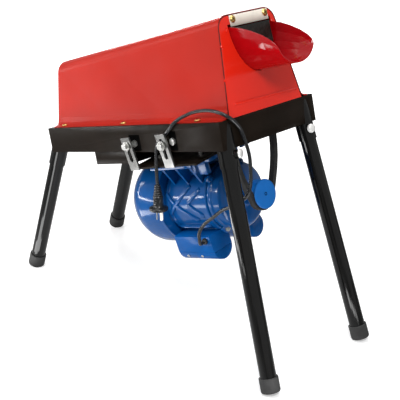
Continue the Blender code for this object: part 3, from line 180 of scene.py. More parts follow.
STRIP_WHITE = finish("strip_white", (0.87, 0.81, 0.71), 0.42, coat=0.10, tone_scale=60, grain=0.2)
FAN_BLACK = finish("fan_black", (0.010, 0.010, 0.011), 0.5, specular=0.3, tone=0.1, grain=0.3)
# near black: painted shade for holes and recesses (screw crosses, the pulley's bore, the rack's windows)
RECESS_SHADE = finish("recess", (0.0012, 0.0012, 0.0012), 0.80, specular=0.02, tone=0.2, tone_scale=200)

# metal
ZINC = finish("zinc", (0.66, 0.66, 0.64), 0.32, metallic=0.9, tone=0.14, tone_scale=90, smear=0.10,
              smear_scale=120, grain=0.15)
STRAP_ZINC = finish("strap_zinc", (0.36, 0.36, 0.35), 0.28, metallic=0.95, tone=0.30, tone_scale=28,
                    grain=0.15)
BRIGHT_ZINC = finish("bright_zinc", (0.86, 0.86, 0.84), 0.40, metallic=0.35, tone=0.08, tone_scale=90)
YELLOW_ZINC = finish("yellow_zinc", (0.74, 0.50, 0.17), 0.28, metallic=0.9, tone=0.2, tone_scale=160,
                     grain=0.1)
STEEL = finish("bare_steel", (0.40, 0.39, 0.37), 0.36, metallic=0.95, tone=0.15, tone_scale=40,
               smear=0.12, grain=0.2)
IRON = finish("cast_iron", (0.15, 0.15, 0.15), 0.62, metallic=0.7, tone=0.2, tone_scale=60, grain=0.8,
              grain_scale=500)
PIN_STEEL = finish("pin_steel", (0.80, 0.78, 0.72), 0.30, metallic=0.65, tone=0.05, tone_scale=100,
                   grain=0.05)

# rubber and bristle
CAP_RUBBER = finish("cap_rubber", (0.040, 0.040, 0.040), 0.66, specular=0.3, tone=0.15, tone_scale=60,
                    grain=0.4, grain_scale=1500)
CORD_BLACK = finish("cord_black", (0.013, 0.014, 0.016), 0.26, coat=0.15, specular=0.45, tone=0.1,
                    tone_scale=50, grain=0.12, grain_scale=1500)
BELT_BLACK = finish("belt_black", (0.022, 0.022, 0.022), 0.70, specular=0.3, tone=0.25, tone_scale=120,
                    grain=0.5, grain_scale=1200)
BRISTLE = finish("bristle", (0.014, 0.012, 0.010), 0.42, specular=0.45, tone=0.85, tone_scale=420,
                 stretch=(1, 1, 0.06))

BY_SLOT = {
    "hood_red": HOOD_RED, "end_red": END_RED, "scoop_red": SCOOP_RED, "frame_black": RACK_BLACK,
    "leg_black": LEG_BLACK, "cap_rubber": CAP_RUBBER, "zinc": ZINC, "yellow_zinc": YELLOW_ZINC,
    "strip_white": STRIP_WHITE, "bristle_black": BRISTLE, "bare_steel": STEEL, "cast_iron": IRON,
    "motor_blue": BLUE, "pulley_blue": PULLEY_BLUE, "fan_black": FAN_BLACK, "cord_black": CORD_BLACK,
}
for part in frame["record"]["subparts"]:
    shown = nodes[part["node"]].data.materials
    shown.clear()
    shown.append(BY_SLOT[part["material_slot"]])
for node_name in nodes:
    if node_name.startswith("socket_"):
        nodes[node_name].data.materials[0] = LEG_BLACK
nodes["belt"].data.materials[0] = BELT_BLACK
for node_name in ("capacitor_box", "capacitor_lid"):
    nodes[node_name].data.materials[0] = BOX_BLUE


def soften(name, width, segments=2, limit=32):
    """Rounds a CAD node's sharp edges a little, as its paint or its forming does."""
    node = nodes[name]
    weld = node.modifiers.new("weld", "WELD")
    weld.merge_threshold = 0.00002
    bevel = node.modifiers.new("bevel", "BEVEL")
    bevel.width, bevel.segments, bevel.angle_limit = width, segments, radians(limit)
    bevel.limit_method = "ANGLE"
    bevel.use_clamp_overlap = True
    bevel.harden_normals = True
    for face in node.data.polygons:
        face.use_smooth = True


EDGE_WIDTHS = {
    "rack": 0.0008, "drive_end_bell": 0.0015, "motor_plate": 0.0008, "capacitor_box": 0.0012,
    "capacitor_lid": 0.0012, "run_capacitor_can": 0.0012, "motor_pulley": 0.0006, "drum_pulley": 0.0006,
    "brush_strip": 0.0004, "kernel_chute": 0.0004,
}
for node_name, width in EDGE_WIDTHS.items():
    soften(node_name, width)


# ------------------------------------------------------------- making pieces
def piece(name, mesh, material, body, smooth=True, where=None):
    """A mesh, in where's frame, as a piece that rides on a CAD body."""
    new = bpy.data.objects.new(name, mesh)
    scene.collection.objects.link(new)
    if where is not None:
        mesh.transform(where)
    mesh.materials.clear()
    mesh.materials.append(material)
    for face in mesh.polygons:
        face.use_smooth = smooth
    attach(new, body)
    return new


def from_bmesh(bm, name="mesh"):
    bmesh.ops.recalc_face_normals(bm, faces=bm.faces)
    mesh = bpy.data.meshes.new(name)
    bm.to_mesh(mesh)
    bm.free()
    return mesh


def absorb(bm, part, where=None):
    """Adds another bmesh, in where's frame, to bm."""
    mesh = from_bmesh(part)
    if where is not None:
        mesh.transform(where)
    bm.from_mesh(mesh)
    bpy.data.meshes.remove(mesh)


def add_box(bm, size, where):
    """Adds a box with its middle at where's origin."""
    bmesh.ops.create_cube(bm, size=1, matrix=where @ Matrix.Diagonal((*size, 1)))


def loft(rings, ends=True):
    """A skin over closed rings of equally many points."""
    bm = bmesh.new()
    rows = [[bm.verts.new(point) for point in ring] for ring in rings]
    count = len(rings[0])
    for one, two in zip(rows, rows[1:]):
        for i in range(count):
            j = (i + 1) % count
            bm.faces.new((one[i], one[j], two[j], two[i]))
    if ends:
        bm.faces.new(rows[0][::-1])
        bm.faces.new(rows[-1])
    return bm


def lathe(profile, steps=40):
    """Turns (radius, height) points about Z; a radius of 0 gives a point on the axis."""
    bm = bmesh.new()
    rows = []
    for radius, height in profile:
        if radius < 1e-6:
            rows.append([bm.verts.new((0, 0, height))])
        else:
            angles = [2 * pi * i / steps for i in range(steps)]
            rows.append([bm.verts.new((radius * cos(a), radius * sin(a), height)) for a in angles])
    for one, two in zip(rows, rows[1:]):
        for i in range(steps):
            j = (i + 1) % steps
            corners = [one[i % len(one)], one[j % len(one)], two[j % len(two)], two[i % len(two)]]
            corners = [v for k, v in enumerate(corners) if v not in corners[:k]]
            if len(corners) > 2:
                bm.faces.new(corners)
    return bm


def tube(points, radius, sides=12):
    """A tube along a line of points."""
    points = [Vector(point) for point in points]
    up = None
    rings = []
    for i, point in enumerate(points):
        way = (points[min(i + 1, len(points) - 1)] - points[max(i - 1, 0)]).normalized()
        if up is None:
            up = way.orthogonal().normalized()
        up = (up - way * up.dot(way)).normalized()
        side = way.cross(up)
        rings.append([point + radius * (cos(2 * pi * k / sides) * up + sin(2 * pi * k / sides) * side)
                      for k in range(sides)])
    return loft(rings)


def smooth_line(points, step, cuts=12):
    """Even points along a Catmull-Rom curve through the given ones."""
    points = [Vector(point) for point in points]
    padded = [points[0] * 2 - points[1]] + points + [points[-1] * 2 - points[-2]]
    fine = []
    for a, b, c, d in zip(padded, padded[1:], padded[2:], padded[3:]):
        for i in range(cuts):
            t = i / cuts
            fine.append(0.5 * (2 * b + (c - a) * t + (2 * a - 5 * b + 4 * c - d) * t * t
                               + (3 * b - a - 3 * c + d) * t ** 3))
    fine.append(points[-1])
    lengths = [0.0]
    for one, two in zip(fine, fine[1:]):
        lengths.append(lengths[-1] + (two - one).length)
    count = round(lengths[-1] / step)
    even, at = [], 0
    for i in range(count + 1):
        want = lengths[-1] * i / count
        while at < len(fine) - 2 and lengths[at + 1] < want:
            at += 1
        share = (want - lengths[at]) / (lengths[at + 1] - lengths[at])
        even.append(fine[at].lerp(fine[at + 1], share))
    return even


# ------------------------------------------------------------- power cord
CORD_RADIUS = 0.0035
CORD_ROUTE = (      # in the rack's frame, after the two points at the grommet
    (0.1156, -0.0955, -0.2421), (0.1181, -0.0965, -0.2312), (0.1280, -0.0955, -0.2174),
    (0.1438, -0.0945, -0.2051), (0.1618, -0.0940, -0.1958), (0.1924, -0.0940, -0.1790),
    (0.2100, -0.0940, -0.1733), (0.2303, -0.0940, -0.1656), (0.2533, -0.0940, -0.1559),
    (0.2680, -0.0945, -0.1450), (0.2720, -0.0894, -0.1334), (0.2720, -0.0830, -0.1160),
    (0.2720, -0.0794, -0.0977), (0.2720, -0.0773, -0.0830), (0.2720, -0.0772, -0.0678),
    (0.2720, -0.0796, -0.0559), (0.2720, -0.0825, -0.0420), (0.2720, -0.0862, -0.0289),
    (0.2722, -0.0916, -0.0174), (0.2724, -0.1010, -0.0060), (0.2715, -0.1110, 0.0040),
    (0.2660, -0.1180, 0.0110), (0.2560, -0.1210, 0.0160), (0.2400, -0.1225, 0.0200),
    (0.2220, -0.1230, 0.0213), (0.2010, -0.1240, 0.0203), (0.1820, -0.1265, 0.0170),
    (0.1680, -0.1305, 0.0120), (0.1545, -0.1355, 0.0065), (0.1430, -0.1393, -0.0025),
    (0.1300, -0.1393, -0.0127), (0.1090, -0.1385, -0.0250), (0.0970, -0.1383, -0.0330),
    (0.0885, -0.1387, -0.0450), (0.0843, -0.1396, -0.0600), (0.0795, -0.1400, -0.0800),
    (0.0722, -0.1400, -0.1180),
)
BOX_REACH, BOX_ANGLE, BOX_HALF = 0.104, radians(-33), 0.0270    # the capacitor box about the motor's axis
GROMMET_X, GROMMET_UP, GROMMET_LENGTH = 0.057, 0.023, 0.008
box_y, box_z = BARREL_Y + BOX_REACH * sin(BOX_ANGLE), BARREL_Z - BOX_REACH * cos(BOX_ANGLE)
grommet = Vector((GROMMET_X, box_y - BOX_HALF - GAP, box_z + GROMMET_UP))    # its seat, in the hinge's frame
tip = grommet - Vector((0, GROMMET_LENGTH, 0))
leave = HINGE @ (tip - Vector((0, GAP, 0)))
first = HINGE @ (tip - Vector((0, 2 * CORD_RADIUS, 0)))
line = [leave] + smooth_line([first] + [RACK @ Vector(point) for point in CORD_ROUTE], 0.014)
fine_line = smooth_line(line, 0.004)
curve = bpy.data.curves.new("cord", "CURVE")
curve.dimensions = "3D"
curve.bevel_depth, curve.bevel_resolution, curve.use_fill_caps = CORD_RADIUS, 5, True
spline = curve.splines.new("POLY")
spline.points.add(len(fine_line) - 1)
for point, where in zip(spline.points, fine_line):
    point.co = (*where, 1)
spline.use_smooth = True
cord = bpy.data.objects.new("cord", curve)
scene.collection.objects.link(cord)
curve.materials.append(CORD_BLACK)
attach(cord, "motor_unit")
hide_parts("power_cord")


# ------------------------------------------------------------- plug and grommet
way = (line[-1] - line[-2]).normalized()
across = RACK.to_3x3() @ Vector((0, 1, 0))
across = across.cross(way).normalized()
PLUG = (shift(*(line[-1] + way * GAP))
        @ Matrix((across, way.cross(across), way)).transposed().to_4x4())
RELIEF_END, BODY_END, FLANGE_END = 0.022, 0.046, 0.053      # Z from where the cord ends
profile = [(0, 0), (0.0050, 0)]
for i in range(6):          # the strain relief's ribs
    z = 0.0015 + i * 0.0034
    r = 0.0052 + i * 0.0006
    profile += [(r + 0.0008, z), (r + 0.0008, z + 0.0020), (r - 0.0006, z + 0.0024),
                (r - 0.0006, z + 0.0031)]
profile += [(0.0094, RELIEF_END), (0.0104, RELIEF_END + 0.003), (0.0098, RELIEF_END + 0.012),
            (0.0103, BODY_END - 0.002), (0.0130, BODY_END), (0.0180, BODY_END + 0.001),
            (0.0190, BODY_END + 0.0025), (0.0190, FLANGE_END - 0.0015), (0.0180, FLANGE_END),
            (0, FLANGE_END)]
plug = piece("plug_body", from_bmesh(lathe(profile, 36)), CORD_BLACK, "motor_unit",
             where=PLUG)
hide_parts("plug")

grips = bmesh.new()
for side in (-1, 1):        # grip bars across the body's flats
    for i in range(4):
        add_box(grips, (0.009, 0.0016, 0.0016),
                shift(0, side * 0.0100, RELIEF_END + 0.006 + i * 0.0042))
bmesh.ops.bevel(grips, geom=grips.edges[:], offset=0.0005, segments=2, affect="EDGES")
piece("plug_grips", from_bmesh(grips), CORD_BLACK, "motor_unit", where=PLUG)

PIN_REACH, PIN_TURN = 0.0062, 28
PIN_RINGS = (       # Z, half width and half thickness
    (FLANGE_END - 0.002, 0.0031, 0.00078), (FLANGE_END + 0.0180, 0.0031, 0.00078),
    (FLANGE_END + 0.0208, 0.0024, 0.0006), (FLANGE_END + 0.0218, 0.0014, 0.0003),
)
pins = bmesh.new()
for side in (-1, 1):
    rings = []
    for z, half_width, half_thick in PIN_RINGS:
        at_pin = shift(side * PIN_REACH, 0, z) @ turn(-side * PIN_TURN, "Z")
        corners = ((-half_thick, -half_width), (half_thick, -half_width), (half_thick, half_width),
                   (-half_thick, half_width))
        rings.append([at_pin @ Vector((x, y, 0)) for x, y in corners])
    absorb(pins, loft(rings))
piece("plug_pins", from_bmesh(pins), PIN_STEEL, "motor_unit", smooth=False, where=PLUG)

SLEEVE = ((0, 0), (0.00432, 0), (0.006696, 0), (0.007128, 0.0015), (0.006264, 0.0037),
          (0.004752, 0.0075), (0.003996, 0.0077), (0, 0.0078))
out_of_box = Matrix(((1, 0, 0), (0, 0, -1), (0, 1, 0))).to_4x4()       # its Z runs along the hinge's -Y
grommet_piece = piece("grommet", from_bmesh(lathe(SLEEVE, 28)), CORD_BLACK, "motor_unit",
                      where=HINGE @ shift(*grommet) @ out_of_box)
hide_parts("cord_grommet")


# ------------------------------------------------------------- brush
STRIP_Y = 0.0057                        # the middle of the strip and the brush
STRIP_BOTTOM, STRIP_SHEET = 0.1618, 0.0015
BRUSH_HALF = 0.0025
BRUSH = FEED_END @ shift(END_FACE + GAP + BRUSH_HALF, STRIP_Y, STRIP_BOTTOM - GAP - BRUSH_HALF)
ROWS, TUFTS, TUFT_LENGTH = 3, 30, 0.042
REACH, MARGIN = 0.049, 0.0006           # half the brush's length, and what the tufts leave free at its ends
bristles = bmesh.new()
for row in range(ROWS):
    for i in range(TUFTS):
        jitter = noise.noise_vector(Vector((i * 1.7, row * 5.3, 0.4)))
        x = -0.0016 + row * 0.0016 + jitter.x * 0.0003
        y = -REACH + MARGIN + 2 * (REACH - MARGIN) * (i + 0.5 * (row % 2)) / (TUFTS - 0.5)
        fall = TUFT_LENGTH * (1 - 0.06 * abs(jitter.y)) - 0.0002
        sway = jitter.z * 0.0022
        rings = []
        for z, half in ((-0.0005, 0.00125), (-fall * 0.5, 0.00120), (-fall * 0.9, 0.00085),
                        (-fall, 0.00045)):
            share = z / -TUFT_LENGTH
            rings.append([Vector((x + a * half * 0.75, y + sway * share + b * half, z))
                          for a, b in ((-1, -1), (1, -1), (1, 1), (-1, 1))])
        absorb(bristles, loft(rings))
add_box(bristles, (0.0040, 0.0976, 0.0030), shift(0, 0, -0.0012))       # the bar that holds the tufts
bristles = piece("bristles", from_bmesh(bristles), BRISTLE, "brush", smooth=False,
                 where=BRUSH)
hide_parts("brush")


# ------------------------------------------------------------- clamp heads and screws
CLAMP_PROFILE = ((0, 0), (0.0086, 0), (0.0090, 0.0004), (0.0090, 0.0012), (0.0080, 0.0018),
                 (0.0080, 0.0036), (0.0068, 0.0046), (0, 0.0048))
CLAMPS = (      # the leg, the signs of its X and Y, and its head's angle from the rack's X
    ("front_feed", 1, -1, 20), ("rear_feed", 1, 1, 20), ("front_outlet", -1, -1, 60),
    ("rear_outlet", -1, 1, 60),
)
clamps = bmesh.new()
for side, sign, front, degrees in CLAMPS:
    angle = radians(degrees)
    out_of_leg = RACK.to_3x3() @ Vector((sign * cos(angle), -front * sin(angle), 0))
    low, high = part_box(f"clamp_bolt_{side}")
    seat = (low + high) / 2 + out_of_leg * 0.0012
    absorb(clamps, lathe(CLAMP_PROFILE, 28),
           shift(*seat) @ out_of_leg.to_track_quat("Z", "Y").to_matrix().to_4x4())
piece("clamp_heads", from_bmesh(clamps), BRIGHT_ZINC, "stand")


def screw(name, node, where, radius=0.0064):
    """A cross-recessed pan head and its washer in place of a CAD head; where's Z points out of the seat."""
    head = lathe([(0, 0), (radius * 1.06, 0), (radius * 1.06, 0.0005), (radius * 0.94, 0.0007),
                  (radius * 0.92, 0.0013), (radius * 0.80, 0.0021), (radius * 0.55, 0.0027),
                  (radius * 0.28, 0.0029), (0, 0.0029)], 28)
    head = piece(name, from_bmesh(head), YELLOW_ZINC, "stand", where=where)
    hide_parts(node)
    # the cross recess is a near-black cross laid on the head: painted shade, not a cut hole
    cross = bmesh.new()
    for angle in (20, 110):
        add_box(cross, (radius, radius * 0.20, 0.0013), turn(angle, "Z") @ shift(0, 0, 0.0024))
    piece(name + "_cross", from_bmesh(cross), RECESS_SHADE, "stand", smooth=False, where=where)


STRIP_SCREW_REACH, STRIP_SCREW_UP = 0.0446, 0.0130
for side, way_out in (("left", -1), ("right", 1)):
    seat = shift(END_FACE + 2 * GAP + STRIP_SHEET, STRIP_Y + way_out * STRIP_SCREW_REACH,
                 STRIP_BOTTOM + STRIP_SCREW_UP)
    screw(f"strip_head_{side}", f"strip_screw_{side}", FEED_END @ seat @ turn(90, "Y"), radius=0.0068)
for side in ("front", "rear"):
    for i in (1, 2, 3):
        node = f"hood_screw_{side}_{i}"
        low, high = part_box(node)
        seat = (low + high) / 2 - (RACK.to_3x3() @ Vector((0, 0, 1))) * 0.0015
        screw(f"hood_head_{side}_{i}", node,
              shift(*seat) @ RACK.to_3x3().to_4x4() @ turn(37 * i, "Z"))


# ------------------------------------------------------------- end plate: bead, painted seam shade and tack welds
def ridge(name, points, width, height, material, body, where):
    """A low rounded ridge along a line on a flat face that looks along +X."""
    up = Vector((1, 0, 0))
    points = [Vector(point) for point in points]
    rings = []
    for i, point in enumerate(points):
        way = (points[min(i + 1, len(points) - 1)] - points[max(i - 1, 0)]).normalized()
        side = up.cross(way).normalized()
        swell = 0.25 if i in (0, len(points) - 1) else 1.0
        rings.append([point + side * width / 2 * cos(pi * k / 6)
                      + up * swell * (height * sin(pi * k / 6) - 0.0002) for k in range(7)])
    return piece(name, from_bmesh(loft(rings)), material, body, where=where)


bead_line = [(END_FACE, -0.082 + 0.176 * t, 0.0235 - 0.0045 * t)
             for t in (0, 0.01, 0.25, 0.5, 0.75, 0.99, 1)]
ridge("end_bead", bead_line, 0.0046, 0.0022, END_RED, "stand", FEED_END)

FOOT_HALF, FOOT_HEIGHT = 0.1044, 0.010          # the hood's outline
TOP_HALF, TOP_HEIGHT, HOOD_ROUND = 0.0752, 0.1845, 0.0278
SEAM_IN, SEAM_X = 0.0012, 0.0006
lean = atan2(FOOT_HALF - TOP_HALF, TOP_HEIGHT - FOOT_HEIGHT)
back_off = HOOD_ROUND * sin((pi / 2 - lean) / 2) / cos((pi / 2 - lean) / 2)
half_line = [(FOOT_HALF - SEAM_IN - (z - FOOT_HEIGHT) * sin(lean) / cos(lean), z)
             for z in (0.005, 0.05, 0.10, 0.145)]
for i in range(9):          # around the hood's rounded corner
    angle = lean + (pi / 2 - lean) * i / 8
    half_line.append((TOP_HALF - back_off + (HOOD_ROUND - SEAM_IN) * cos(angle),
                      TOP_HEIGHT - HOOD_ROUND + (HOOD_ROUND - SEAM_IN) * sin(angle)))
seam_line = [(SEAM_X, -y, z) for y, z in half_line] + [(SEAM_X, y, z) for y, z in reversed(half_line)]
# a thin dark red tube along the gap between hood and end plate: painted shade of the gap
piece("end_seam", from_bmesh(tube(seam_line, 0.0010, 8)), SEAM_SHADE_RED, "stand", where=FEED_END)

TACKS = (       # Y, Z and size
    (-0.0600, 0.1560, 0.0030), (-0.0815, 0.1300, 0.0034), (-0.0940, 0.0700, 0.0026),
    (-0.0985, 0.0300, 0.0020), (0.0680, 0.1560, 0.0026), (0.0880, 0.0900, 0.0028),
)
tacks = bmesh.new()
for y, z, size in TACKS:
    squash = Matrix.Diagonal((size * 0.5, size * 0.8, size, 1))
    ball = bmesh.ops.create_icosphere(tacks, subdivisions=3, radius=1,
                                      matrix=shift(END_FACE + 0.0004, y, z) @ squash)
    for vert in ball["verts"]:
        vert.co += noise.noise_vector(vert.co * 600) * size * 0.25
piece("seam_tacks", from_bmesh(tacks), END_RED, "stand", where=FEED_END)


# ------------------------------------------------------------- motor housing
def on_barrel(x, angle, out=0.0):
    """A point on the barrel in the hinge's frame; angle runs from straight below towards the front."""
    a = radians(angle)
    return Vector((x, BARREL_Y - (BARREL + out) * sin(a), BARREL_Z - (BARREL + out) * cos(a)))


RIB_SHAPE = ((-0.5, -0.3), (-0.47, 0.35), (-0.34, 0.85), (-0.12, 1.0), (0.12, 1.0), (0.34, 0.85),
             (0.47, 0.35), (0.5, -0.3))         # in shares of a rib's width and height


def barrel_rib(bm, points, width, height):
    """Adds a rib with sloping sides along (x, angle) points on the barrel."""
    fine = []
    for (x0, a0), (x1, a1) in zip(points, points[1:]):
        steps = max(2, int(abs(a1 - a0) / 3) + int(abs(x1 - x0) / 0.012))
        fine += [(x0 + (x1 - x0) * i / steps, a0 + (a1 - a0) * i / steps) for i in range(steps)]
    fine.append(points[-1])
    rings = []
    for i, (x, a) in enumerate(fine):
        one, two = fine[max(0, i - 1)], fine[min(len(fine) - 1, i + 1)]
        way = (on_barrel(*two) - on_barrel(*one)).normalized()
        up = (on_barrel(x, a, 0.01) - on_barrel(x, a)).normalized()
        side = up.cross(way).normalized()
        full = 0.35 if i in (0, len(fine) - 1) else 1
        rings.append([on_barrel(x, a) + side * width * s + up * height * (h * full if h > 0 else h)
                      for s, h in RIB_SHAPE])
    absorb(bm, loft(rings))


def bar(bm, low, high, bevel):
    """Adds a box with rounded edges."""
    made = bmesh.new()
    low, high = Vector(low), Vector(high)
    add_box(made, high - low, shift(*((low + high) / 2)))
    bmesh.ops.bevel(made, geom=made.edges[:], offset=bevel, segments=3, profile=0.6, affect="EDGES")
    absorb(bm, made)


def plate_of(bm, corners, x0, x1):
    """Adds a plate between x0 and x1 whose outline is given as (y, z) corners."""
    absorb(bm, loft([[Vector((x, y, z)) for y, z in corners] for x in (x0, x1)]))


BARREL_PROFILE = (
    (0.036, -0.037), (0.0700, -0.037), (0.0718, -0.0358), (0.0740, -0.0345), (0.0740, -0.0300),
    (0.0718, -0.0285), (0.0718, 0.0650), (0.0738, 0.0668), (0.0738, 0.0800), (0.0722, 0.0817),
    (0.036, 0.0817), (0.036, -0.037),
)
RIBS = (        # an X and an arrow, in (x, angle) points
    ((-0.036, 119), (-0.010, 98), (0.0425, 69)), ((0.0344, 129), (-0.010, 98), (-0.036, 81)),
    ((0.0640, 123), (0.0255, 99), (0.0640, 77)),
)
FINS = ((56, 0.0060), (41, 0.0110))             # angle and height of the two long fins
RIB_WIDTH, RIB_HEIGHT, FIN_WIDTH = 0.0095, 0.0042, 0.0040
FOOT_TOP = -0.0023
GUSSETS, GUSSET_SHEET = (-0.016, 0.024, 0.066), 0.0055
housing = bmesh.new()
absorb(housing, lathe(BARREL_PROFILE, 96), HINGE.inverted() @ MOTOR)
for side in (1, -1):        # the same casting on the front and the rear
    def turned(points):
        return [(x, side * a) for x, a in points]

    def at_side(y):
        return BARREL_Y + side * (y - BARREL_Y)

    for points in RIBS:
        barrel_rib(housing, turned(points), RIB_WIDTH, RIB_HEIGHT)
    for angle, height in FINS:
        barrel_rib(housing, turned([(-0.031, angle), (0.064, angle)]), FIN_WIDTH, height)
    y0, y1 = sorted((at_side(-0.205), at_side(-0.177)))             # the foot
    bar(housing, (-0.030, y0, FOOT_TOP - 0.0085), (0.142, y1, FOOT_TOP), 0.0022)
    wall = [(at_side(-0.1770), FOOT_TOP - 0.004), (at_side(-0.1720), FOOT_TOP - 0.004),
            (at_side(-0.1480), BARREL_Z + 0.0600), (at_side(-0.1580), BARREL_Z + 0.0560)]
    plate_of(housing, wall, -0.018, 0.076)
    gusset = [(at_side(-0.1980), FOOT_TOP - 0.014), (at_side(-0.1740), FOOT_TOP - 0.004),
              (at_side(-0.1500), BARREL_Z + 0.0600), (at_side(-0.1740), BARREL_Z + 0.0460)]
    for x in GUSSETS:
        plate_of(housing, gusset, x, x + GUSSET_SHEET)
    y2, y3 = sorted((at_side(-0.2065), at_side(-0.1950)))           # the foot's lip and its end bracket
    bar(housing, (-0.0370, y2, -0.0212), (0.0880, y3, -0.0112), 0.0030)
    if side > 0:
        bar(housing, (0.1065, y2, -0.0350), (0.1280, y3, FOOT_TOP - 0.002), 0.0015)
    bar(housing, (0.088, y0 + 0.001, FOOT_TOP - 0.030), (0.0955, y1 - 0.001, FOOT_TOP - 0.004), 0.0015)
housing = piece("housing", from_bmesh(housing), BLUE, "motor_unit", where=HINGE)
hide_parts("motor_housing")
housing.modifiers.new("edges", "EDGE_SPLIT").split_angle = radians(32)


# ------------------------------------------------------------- motor: bolts, pulley face, fan cover
def hexagon_bolt(bm, where, size=0.0048, height=0.0036):
    """Adds a hexagon head with a chamfered top and a washer, standing along where's Z."""
    def ring(radius, z, sides):
        angles = [2 * pi * k / sides for k in range(sides)]
        return [where @ Vector((radius * cos(a), radius * sin(a), z)) for a in angles]

    head = ((0.94, 0.0008), (1.0, 0.0013), (1.0, height * 0.85), (0.86, height), (0.5, height))
    absorb(bm, loft([ring(size * share, z, 6) for share, z in head]))
    absorb(bm, loft([ring(size * 1.35, z, 24) for z in (-0.0004, 0.0009)]))


BELL_BOLT_X, BELL_BOLT_IN, EAR_HEIGHT = 0.0830, 0.002, 0.0072
EAR_PROFILE = ((0, -0.004), (0.0085, -0.004), (0.0090, 0.006), (0.0084, EAR_HEIGHT), (0, EAR_HEIGHT))
bolts, painted_bolts, ears = bmesh.new(), bmesh.new(), bmesh.new()
for angle in (40, 140, -40, -140):      # the through bolts on the drive bell, each in a cast ear
    base = shift(*on_barrel(BELL_BOLT_X, angle, -BELL_BOLT_IN)) @ turn(90, "Y")
    absorb(ears, lathe(EAR_PROFILE, 28), base)
    hexagon_bolt(bolts if abs(angle) < 90 else painted_bolts, base @ shift(0, 0, EAR_HEIGHT + 0.0004))
piece("bell_ears", from_bmesh(ears), BLUE, "motor_unit", where=HINGE)
piece("bell_bolts", from_bmesh(bolts), ZINC, "motor_unit", smooth=False, where=HINGE)
piece("bell_bolts_upper", from_bmesh(painted_bolts), BLUE, "motor_unit", smooth=False,
      where=HINGE)

face_disc = lathe([(0, 0.17635), (0.0288, 0.17635), (0.0293, 0.1768), (0.0290, 0.1774),
                   (0.0272, 0.1776), (0.0040, 0.1776), (0.0026, 0.1772), (0.0022, 0.1768),
                   (0, 0.1767)], 56)
piece("pulley_face", from_bmesh(face_disc), PULLEY_BLUE, "motor_rotor", where=MOTOR)
# a near-black ring in the face's dimple: painted shade of the pulley's bore
bore_shade = lathe([(0.0024, 0.1774), (0.0024, 0.1779), (0.0034, 0.1779), (0.0034, 0.1774),
                     (0.0024, 0.1774)], 28)
piece("pulley_bore", from_bmesh(bore_shade), RECESS_SHADE, "motor_rotor", where=MOTOR)

COVER, COVER_SHEET, COVER_RIM = 0.094, 0.0022, -0.0394
TIP, TIP_HOLE, ROUND = -0.160, 0.012, 0.062
BULGE, FALL = 0.62, 1.25            # the powers that flatten the cover's quarter line


def dome(radius, depth, steps=26):
    """The cover's flattened quarter line, from its wall to near its tip."""
    angles = [pi / 2 * i / steps for i in range(steps)]
    return [(radius * cos(a) ** BULGE, TIP + ROUND - depth * sin(a) ** FALL) for a in angles]


cover = [(COVER - 0.0012, COVER_RIM), (COVER, -0.0406), (COVER, -0.0440), (COVER - 0.0006, -0.0455),
         (COVER, -0.0470)]
cover += dome(COVER, ROUND) + [(TIP_HOLE, TIP), (TIP_HOLE, TIP + 0.0025)]
cover += dome(COVER - COVER_SHEET, ROUND - COVER_SHEET)[::-1] + [(COVER - COVER_SHEET, COVER_RIM)]
cover = piece("cover", from_bmesh(lathe(cover + cover[:1], 112)), BLUE, "motor_unit",
              where=MOTOR)
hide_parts("fan_cover")

SLOT_ROWS = ((0, 20, 0.42, 0.66), (1, 14, 0.24, 0.38))      # row, slots, and shares of the cover's radius
SLOT_STEPS, SLOT_WIDTH = 7, 0.0028
grille = bmesh.new()
for row, count, low, high in SLOT_ROWS:
    for i in range(count):
        a = 2 * pi * (i + 0.5 * row) / count
        rings = []
        for k in range(SLOT_STEPS):
            share = low + (high - low) * k / (SLOT_STEPS - 1)
            radius = COVER * share
            # how deep the dome's own line lies at this share of its radius
            c = share ** (1 / BULGE)
            depth = ROUND * sqrt(max(0.0, 1 - c * c)) ** FALL
            z = TIP + ROUND - depth - 0.0004
            width = SLOT_WIDTH * sin(pi * (k + 0.6) / 7.2) ** 0.5
            rings.append([Vector((radius * cos(a) - s * width * sin(a),
                                  radius * sin(a) + s * width * cos(a), z + d))
                          for s, d in ((-1, 0), (1, 0), (1, 0.0012), (-1, 0.0012))])
        absorb(grille, loft(rings))
piece("cover_slots", from_bmesh(grille), FAN_BLACK, "motor_unit", where=MOTOR)

lid_marks = bmesh.new()
for x in (-0.012, 0.030):
    seat = shift(x, box_y - 0.0240, box_z - 0.0128)
    hexagon_bolt(lid_marks, seat @ turn(90 + 26, "X"), 0.0022, 0.0014)
piece("lid_screws", from_bmesh(lid_marks), ZINC, "motor_unit", where=HINGE)


# ------------------------------------------------------------- zinc straps over the plate's ears
STRAP_HALF, STRAP_LOW, STRAP_HIGH = 0.0132, -0.0022, 0.0667
STRAP_FRONT, STRAP_BACK = -0.2467, -0.2428
SLOT_CENTRE, SLOT_HALF, SLOT_RADIUS = 0.0365, 0.0165, 0.0048


